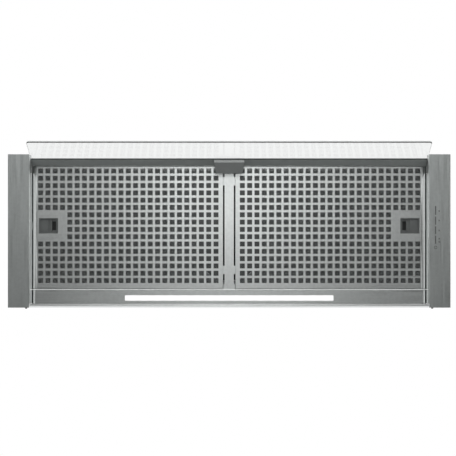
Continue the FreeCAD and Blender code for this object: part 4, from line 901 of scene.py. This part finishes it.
# %% Fold the frame
def frame_section():
    """Points of the section as (share of the fold's width, extra inset, height)."""
    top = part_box("filter_frame_right")[1].z / MM
    lip, steps = 8.0, 5
    angles = [math.radians(90 * i / steps) for i in range(steps + 1)]
    outer = [(1 - math.sin(a), 0.0, UNDERSIDE + FOLD_HEIGHT * (1 - math.cos(a))) for a in angles]
    inner = [(1 - math.sin(a), SHEET * math.sin(a),
              UNDERSIDE + FOLD_HEIGHT - (FOLD_HEIGHT - SHEET) * math.cos(a)) for a in angles[::-1]]
    return (outer + [(0.0, 0.0, top), (0.0, lip, top), (0.0, lip, top - SHEET),
                     (0.0, SHEET, top - SHEET)] + inner)


def ring_points(share, extra, corner_steps=4):
    """One closed loop round the filter's outline for one point of the section."""
    points = []
    for x_edge, x_way, x_fold, y_edge, y_way, y_fold, start in (
            (filter_high.x + BULGE, -1, FOLD_OUTER, filter_low.y, 1, FOLD_FRONT, 270),
            (filter_high.x + BULGE, -1, FOLD_OUTER, filter_high.y, -1, FOLD_REAR, 0),
            (filter_low.x, 1, FOLD_INNER, filter_high.y, -1, FOLD_REAR, 90),
            (filter_low.x, 1, FOLD_INNER, filter_low.y, 1, FOLD_FRONT, 180)):
        x_in, y_in = share * x_fold + extra, share * y_fold + extra
        cx = x_edge + x_way * max(x_in, x_fold)
        cy = y_edge + y_way * max(y_in, y_fold)
        rx, ry = max(x_fold - x_in, 0.0), max(y_fold - y_in, 0.0)
        for i in range(corner_steps + 1):
            turn = math.radians(start + 90 * i / corner_steps)
            points.append((cx + rx * math.cos(turn), cy + ry * math.sin(turn)))
    return points


def folded_frame(sign):
    bm = bmesh.new()
    loft(bm, [[bm.verts.new((sign * x * MM, y * MM, height * MM))
               for x, y in ring_points(share, extra)]
              for share, extra, height in frame_section()], endless=True)
    bmesh.ops.dissolve_degenerate(bm, dist=1e-7, edges=bm.edges)
    return bm


HOOK_TIP_X = 7.2                   # how near the hooks come to the middle
HOOK_MIDDLES = (-100.8, 79.1)
HOOK_WIDTH = 17.0
HOOK_UNDER, HOOK_TOP = 0.4, 1.6


def add_hooks(bm, sign):
    """Two flat hooks that reach through the windows of the mullion."""
    low, high = sorted((sign * HOOK_TIP_X, sign * (filter_low.x + FOLD_INNER)))
    for middle in HOOK_MIDDLES:
        add_box(bm, (low, middle - HOOK_WIDTH / 2, HOOK_UNDER),
                (high, middle + HOOK_WIDTH / 2, HOOK_TOP))


for side, sign in SIDES:
    bm = folded_frame(sign)
    add_hooks(bm, sign)
    finish_piece("filter_rim_" + side, bm, "filter_" + side, filter_steel,
                 ["filter_frame_" + side], 0.12, 1)

# %% [markdown]
# ### A lid over each latch
#
# The bolt slides in a channel above the finger recess. A thin near-black lid closes that channel,
# and its black is painted shade, so the finger slot looks black. The lid is a plate with four
# small rivet heads.

# %% Close the latch channel
def latch_lid(sign):
    bm = bmesh.new()
    top, inset = latch_high.z + 0.5, 3.0
    x0, x1 = sorted((sign * latch_low.x, sign * latch_high.x))
    add_box(bm, (x0, latch_low.y, latch_high.z), (x1, latch_high.y, top))
    for x in (x0 + inset, x1 - inset):
        for y in (latch_low.y + inset, latch_high.y - inset):
            add_rod(bm, 1.2, (x, y, top - 0.1), (0, 0, 1), 0.35, 16, 0.9)
    return bm


for side, sign in SIDES:
    finish_piece("latch_lid_" + side, latch_lid(sign), "filter_" + side, slot_shade_black,
                 edge=0.15, segments=1)

# %% [markdown]
# ### Expanded mesh behind the holes
#
# Grease is caught in layers of expanded metal. Through the holes it reads as a fine diagonal
# lattice. Two sets of slanting strands make one layer. A fine layer lies on the sheet. A coarse
# one above it holds it down. It lies in shade, and its metal is painted darker with the height, as
# painted shade.

# %% Weave the lattice
STRAND = 1.25                      # width of a strand
DIAMOND = 4.22                     # from one strand to the next, along Y
REACH = 700.0                      # lines further out miss the filter
CLEAR = 1.2                        # how far the strands stay from the frame and the latch


def strand_spans(offset, slope, box_low, box_high, gap_low, gap_high):
    """Parts of the line y = slope * x + offset inside the box and outside the latch's gap."""
    step, shortest = 1.0, 2.0
    x = box_low[0]
    spans, begin = [], None
    while x <= box_high[0] + 1e-6:
        y = slope * x + offset
        inside = box_low[1] <= y <= box_high[1]
        in_gap = gap_low[0] < x < gap_high[0] and gap_low[1] < y < gap_high[1]
        if inside and not in_gap:
            begin = x if begin is None else begin
            last = x
        elif begin is not None:
            spans.append((begin, last))
            begin = None
        x += step
    if begin is not None:
        spans.append((begin, last))
    return [s for s in spans if s[1] - s[0] > shortest]


def lattice_layer(bm, sign, height, thickness, pitch):
    low = (filter_low.x + CLEAR, filter_low.y + CLEAR)
    high = (filter_high.x - CLEAR, filter_high.y - CLEAR)
    gap_low = (latch_low.x - CLEAR, latch_low.y - CLEAR)
    gap_high = (filter_high.x + 1.0, latch_high.y + CLEAR)
    half = STRAND / 2 * math.sqrt(2)
    for slope in (1, -1):
        offset = -REACH
        while offset < REACH:
            for x0, x1 in strand_spans(offset, slope, low, high, gap_low, gap_high):
                y0, y1 = slope * x0 + offset, slope * x1 + offset
                z = height + (thickness if slope < 0 else 0.0)
                outline = [(sign * x0, y0 - half), (sign * x1, y1 - half),
                           (sign * x1, y1 + half), (sign * x0, y0 + half)]
                add_prism(bm, outline, 2, z, z + thickness)
            offset += pitch


def expanded_metal(name, colour):
    material, tree, shader = new_material(name, 1.0)
    value = map_range(tree, noise_field(tree, 420.0), NOISE_MIDDLE)
    set_colour(tree, shader, value, toned(colour, 0.7), colour)
    set_roughness(tree, shader, value, 0.35, 0.6)
    relief(tree, shader, value, 0.00008)
    return material


mesh_metal = expanded_metal("mesh_metal", (0.138, 0.146, 0.143))
# painted shade: the coarse layer darkens with the height
paint_shade_above(mesh_metal, 0.0015, 0.0010)
for side, sign in SIDES:
    bm = bmesh.new()
    for height, thickness, pitch in ((0.1, 0.35, DIAMOND), (4.9, 0.45, 3 * DIAMOND)):
        lattice_layer(bm, sign, height, thickness, pitch)
    finish_piece("mesh_pack_" + side, bm, "filter_" + side, mesh_metal,
                 ["filter_mesh_" + side])

# %% [markdown]
# ## The visor
#
# The visor hangs from two pins, and leans forward by 26.5 degrees in the photo's pose. It is
# easiest to draw upright, as a section of "out" (towards the filters) and "drop" (down the
# glass), and then to lean the finished piece about its pins.

# %% A lean that fits the frame's hinge
LEAN = math.radians(26.5)
PIN = Vector((0.0, -137.1, -8.5))  # the hinge's place
PIN_DROP = 5.0                     # how far down the upright drawing the pins lie


def lean(bm):
    """Move a piece drawn at (x, out, -drop) to the visor's place."""
    shift = Matrix.Translation(Vector((0, 0, PIN_DROP)) * MM)
    turn = Matrix.Rotation(-LEAN, 4, "X")
    place = Matrix.Translation(PIN * MM)
    bmesh.ops.transform(bm, matrix=place @ turn @ shift, verts=bm.verts)


print("visor leans by", round(math.degrees(LEAN), 1), "degrees")

# %% [markdown]
# ### The pane and its ground edges
#
# The pane is cut from float glass with round corners, and its edges are ground. The faces are
# clear, so the pane is one closed piece of one clear finish.

# %% The pane
GLASS_HALF = 398.6                 # half the pane's width
GLASS_TIP = 90.6                   # how far down the pane ends
GLASS_CORNER = 6.0
GLASS_THICK = 4.0


def tip_corners(grow=0.0):
    """The pane's outline round its tip, from left to right, grown by a little."""
    middle_x, middle_z = GLASS_HALF - GLASS_CORNER, GLASS_CORNER - GLASS_TIP
    return (arc_points((-middle_x, middle_z), GLASS_CORNER + grow, 180, 270, 6)
            + arc_points((middle_x, middle_z), GLASS_CORNER + grow, 270, 360, 6))


def visor_glass():
    top = 14.3
    outline = [(-GLASS_HALF, -top)] + tip_corners() + [(GLASS_HALF, -top)]
    bm = bmesh.new()
    add_prism(bm, outline, 1, -GLASS_THICK / 2, GLASS_THICK / 2)
    lean(bm)
    return bm


finish_piece("visor_pane", visor_glass(), "visor", visor_clear, ["visor_glass"],
             0.6, 2)

# %% [markdown]
# A ground face isn't clear: it scatters light and shows as a thin grey line. So a pale frosted
# strip, a few hundredths of a millimetre thick, lies on the edge at the tip and down both
# sides.

# %% Ground edges
frosted = moulded("frosted_edge", (0.84, 0.87, 0.86), 0.65, 1500.0, 0.00002, 0.05)


def ground_edges():
    top, film = 23.4, 0.05
    front, back = -1.80, 0.0
    outer = ([(-GLASS_HALF - film, -top)] + tip_corners(film) + [(GLASS_HALF + film, -top)])
    inner = ([(-GLASS_HALF + film, -top)] + tip_corners(-film) + [(GLASS_HALF - film, -top)])[::-1]
    bm = bmesh.new()
    near = [bm.verts.new((x * MM, front * MM, z * MM)) for x, z in outer + inner]
    far = [bm.verts.new((x * MM, back * MM, z * MM)) for x, z in outer + inner]
    count, last = len(near), len(outer) - 1
    for i in range(last):
        for ring in (near, far):
            bm.faces.new((ring[i], ring[i + 1], ring[count - 2 - i], ring[count - 1 - i]))
    for i in range(count):
        bm.faces.new((near[i], near[(i + 1) % count], far[(i + 1) % count], far[i]))
    lean(bm)
    return bm


finish_piece("ground_edge", ground_edges(), "visor", frosted)

# %% [markdown]
# ### The pull in the middle
#
# Fingers go behind its lower rim. The rim faces down and catches light, while the face above
# it slopes away, and so looks dark. Its sides draw in towards the top.

# %% Handle
def visor_pull():
    rim_half, root_half = 30.5, 27.1
    rim_drop, top_drop = 25.0, 3.0
    section = [(3.5, -8.0), (22.6, -top_drop), (10.4, -rim_drop), (9.2, -rim_drop),
               (5.4, -26.6), (5.2, -15.5), (4.9, -14.2), (4.3, -13.4), (3.5, -13.2)]
    bm = bmesh.new()
    add_prism(bm, section, 0, -1.0, 1.0)
    for v in bm.verts:
        drop = -v.co.z / MM
        share = (drop - top_drop) / (rim_drop - top_drop)
        half = root_half + (rim_half - root_half) * min(max(share, 0.0), 1.0)
        v.co.x = math.copysign(half, v.co.x) * MM
    lean(bm)
    return bm


finish_piece("visor_pull", visor_pull(), "visor", handle_dark, ["visor_handle"],
             0.5, 3)

# %% [markdown]
# ### The strip in the rim
#
# A strip of paler plastic lies along the lower rim, where fingers take hold. Its paler tone is
# painted light, for the rim that faces down and catches light. It is a slim prism with a rounded
# nose, a little shorter than the handle.

# %% Pale strip along the lower rim
def pull_rim():
    section = [(5.0, -26.7), (9.7, -25.0), (10.2, -25.3), (10.0, -25.9), (5.5, -27.4),
               (4.9, -27.1)]
    bm = bmesh.new()
    add_prism(bm, section, 0, -30.4, 30.4)
    lean(bm)
    return bm


# painted light: a paler copy of the handle's plastic for the rim that faces down
rim_painted_light = moulded("rim_painted_light", (0.345, 0.365, 0.358), 0.45, 900.0, 0.00002, 0.05)
finish_piece("pull_rim", pull_rim(), "visor", rim_painted_light,
             edge=0.2, segments=2)

# %% [markdown]
# ## Marks of the touch control
#
# The control sits behind the right flange and is worked through the steel. Only small printed
# marks show: a plain bar in segments, a ring and a few dots. They are thin printed
# shapes, a few hundredths of a millimetre proud of the sheet.

# %% Print the marks
ink_grey = moulded("ink_grey", (0.085, 0.090, 0.088), 0.6, 2000.0, 0.00001, 0.1)
INK = 0.04                         # how far the ink stands out


def control_marks():
    bm = bmesh.new()
    z0, z1 = UNDERSIDE - INK, UNDERSIDE + 0.02
    bar_x, bar_half = 418.8, 1.1
    mark_x, dot_half = 425.9, 0.9
    for y0, y1 in ((-50.5, -32.5), (-29.5, -12.5), (-9.5, 6.5), (9.5, 26.0)):
        add_box(bm, (bar_x - bar_half, y0, z0), (bar_x + bar_half, y1, z1))
    add_ring(bm, (bar_x, 33.5), [(3.2, z0), (3.2, z1), (2.3, z1), (2.3, z0)], 24)
    for y in (-40.5, -21.2, -1.0, 15.6):
        add_box(bm, (mark_x - dot_half, y - 1.6, z0), (mark_x + dot_half, y + 1.6, z1))
    add_ring(bm, (mark_x + 0.6, 22.0), [(1.8, z0), (1.8, z1), (0.9, z1), (0.9, z0)], 16)
    return bm


finish_piece("control_marks", control_marks(), "body", ink_grey)

# %% [markdown]
# ## Light, floor and camera
#
# The hood hangs, and the cook looks straight up at it. The camera stands two and a half
# metres under it. The sky is plain white where it is seen, mirrored or seen through the
# glass, and a quieter white where it lights the piece. A broad soft lamp beside the
# camera gives the steel its bright middle.

# %% World and floor
scene = bpy.context.scene
scene.view_settings.view_transform = "Standard"
LIGHTING_WHITE = 0.75              # strength of the sky where it only lights the piece


def rays_to_the_eye(tree):
    """1 for rays that reach the eye straight, mirrored or through glass, and 0 for others."""
    ray = tree.nodes.new("ShaderNodeLightPath")
    mirrored = calculate(tree, "MAXIMUM", ray.outputs["Is Camera Ray"],
                         ray.outputs["Is Glossy Ray"])
    return calculate(tree, "MAXIMUM", mirrored, ray.outputs["Is Transmission Ray"])


def stage_slab(name, low, high, material):
    bm = bmesh.new()
    add_box(bm, low, high)
    mesh = bpy.data.meshes.new(name)
    bm.to_mesh(mesh)
    bm.free()
    mesh.materials.append(material)
    slab = bpy.data.objects.new(name, mesh)
    scene.collection.objects.link(slab)
    return slab


world = bpy.data.worlds.new("studio")
scene.world = world
world.use_nodes = True
tree = world.node_tree
background = tree.nodes["Background"]
background.inputs["Color"].default_value = (1, 1, 1, 1)
tree.links.new(map_range(tree, rays_to_the_eye(tree), target=(LIGHTING_WHITE, 1.0)),
               background.inputs["Strength"])

floor_pale, tree, shader = new_material("floor_pale")
set_colour(tree, shader, noise_field(tree, 0.6), (0.84, 0.84, 0.84), (0.88, 0.88, 0.88))
shader.inputs["Roughness"].default_value = 0.9
glow = tree.nodes.new("ShaderNodeEmission")
share = tree.nodes.new("ShaderNodeMixShader")
tree.links.new(map_range(tree, rays_to_the_eye(tree), target=(0.0, 0.85)), share.inputs["Fac"])
tree.links.new(shader.outputs["BSDF"], share.inputs[1])
tree.links.new(glow.outputs["Emission"], share.inputs[2])
tree.links.new(share.outputs["Shader"], tree.nodes["Material Output"].inputs["Surface"])
floor = stage_slab("studio_floor", (-40000, -40000, -3210), (40000, 40000, -3200), floor_pale)
print("sky and floor are set")

# %% [markdown]
# ### A grey card
#
# Polished steel only shows what stands before it. A plain dark card stands far below the hood,
# as a photographer would put it, and gives the steel its grey fall-off from the middle to
# the sides. Its tone is not even, so a little noise goes into it.

# %% A grey card for the steel to mirror
card_grey, tree, shader = new_material("card_grey")
set_colour(tree, shader, noise_field(tree, 1.2), (0.060, 0.060, 0.060), (0.080, 0.080, 0.080))
shader.inputs["Roughness"].default_value = 0.95
card = stage_slab("grey_card", (-2300, -1150, -3010), (2300, 2600, -3000), card_grey)
card.visible_camera = False
print("the card is", [round(d, 2) for d in card.dimensions], "m")

# %% [markdown]
# ### Lamps
#
# The room gives most of the light. One lamp below makes the pale middle, one in front draws
# the highlights along the folds and the visor, and one above lights the hidden side
# for the other views.

# %% Lamps
def soft_lamp(name, place, target, size, radiance):
    """An even rectangle of light: radiance is how bright the rectangle itself looks."""
    data = bpy.data.lights.new(name, "AREA")
    data.shape = "RECTANGLE"
    data.size, data.size_y = size
    data.energy = radiance * math.pi * size[0] * size[1]
    lamp = bpy.data.objects.new(name, data)
    lamp.location = place
    lamp.rotation_mode = "QUATERNION"
    lamp.rotation_quaternion = (Vector(target) - Vector(place)).to_track_quat("-Z", "Y")
    lamp.visible_camera = False
    scene.collection.objects.link(lamp)


soft_lamp("lamp_under", (0.0, -0.17, -2.7), (0.0, 0.0, 0.0), (0.62, 0.50), 3.5)
soft_lamp("lamp_front", (0.0, -1.30, -2.3), (0.0, 0.0, 0.0), (0.60, 0.90), 11.0)
soft_lamp("lamp_above", (1.6, -2.2, 2.6), (0.0, 0.0, 0.1), (1.6, 1.6), 2.0)

# %% [markdown]
# ### Camera
#
# The photo was taken from straight below, from a good distance, so the camera has a long lens.

# %% Camera
CAMERA_DISTANCE = 2.5
FIELD = 0.9252                     # metres across the picture at the flanges
ASIDE = (-0.0024, -0.0060)         # the camera stands a little off the middle
camera_data = bpy.data.cameras.new("camera")
camera_data.sensor_width = 36.0
camera_data.lens = 36.0 * CAMERA_DISTANCE / FIELD
camera_data.clip_start, camera_data.clip_end = 0.05, 60.0
camera = bpy.data.objects.new("camera", camera_data)
scene.collection.objects.link(camera)
camera.location = (*ASIDE, UNDERSIDE * MM - CAMERA_DISTANCE)
camera.rotation_euler = (math.pi, 0.0, 0.0)
scene.camera = camera
print("camera lens in mm:", round(camera_data.lens, 1))
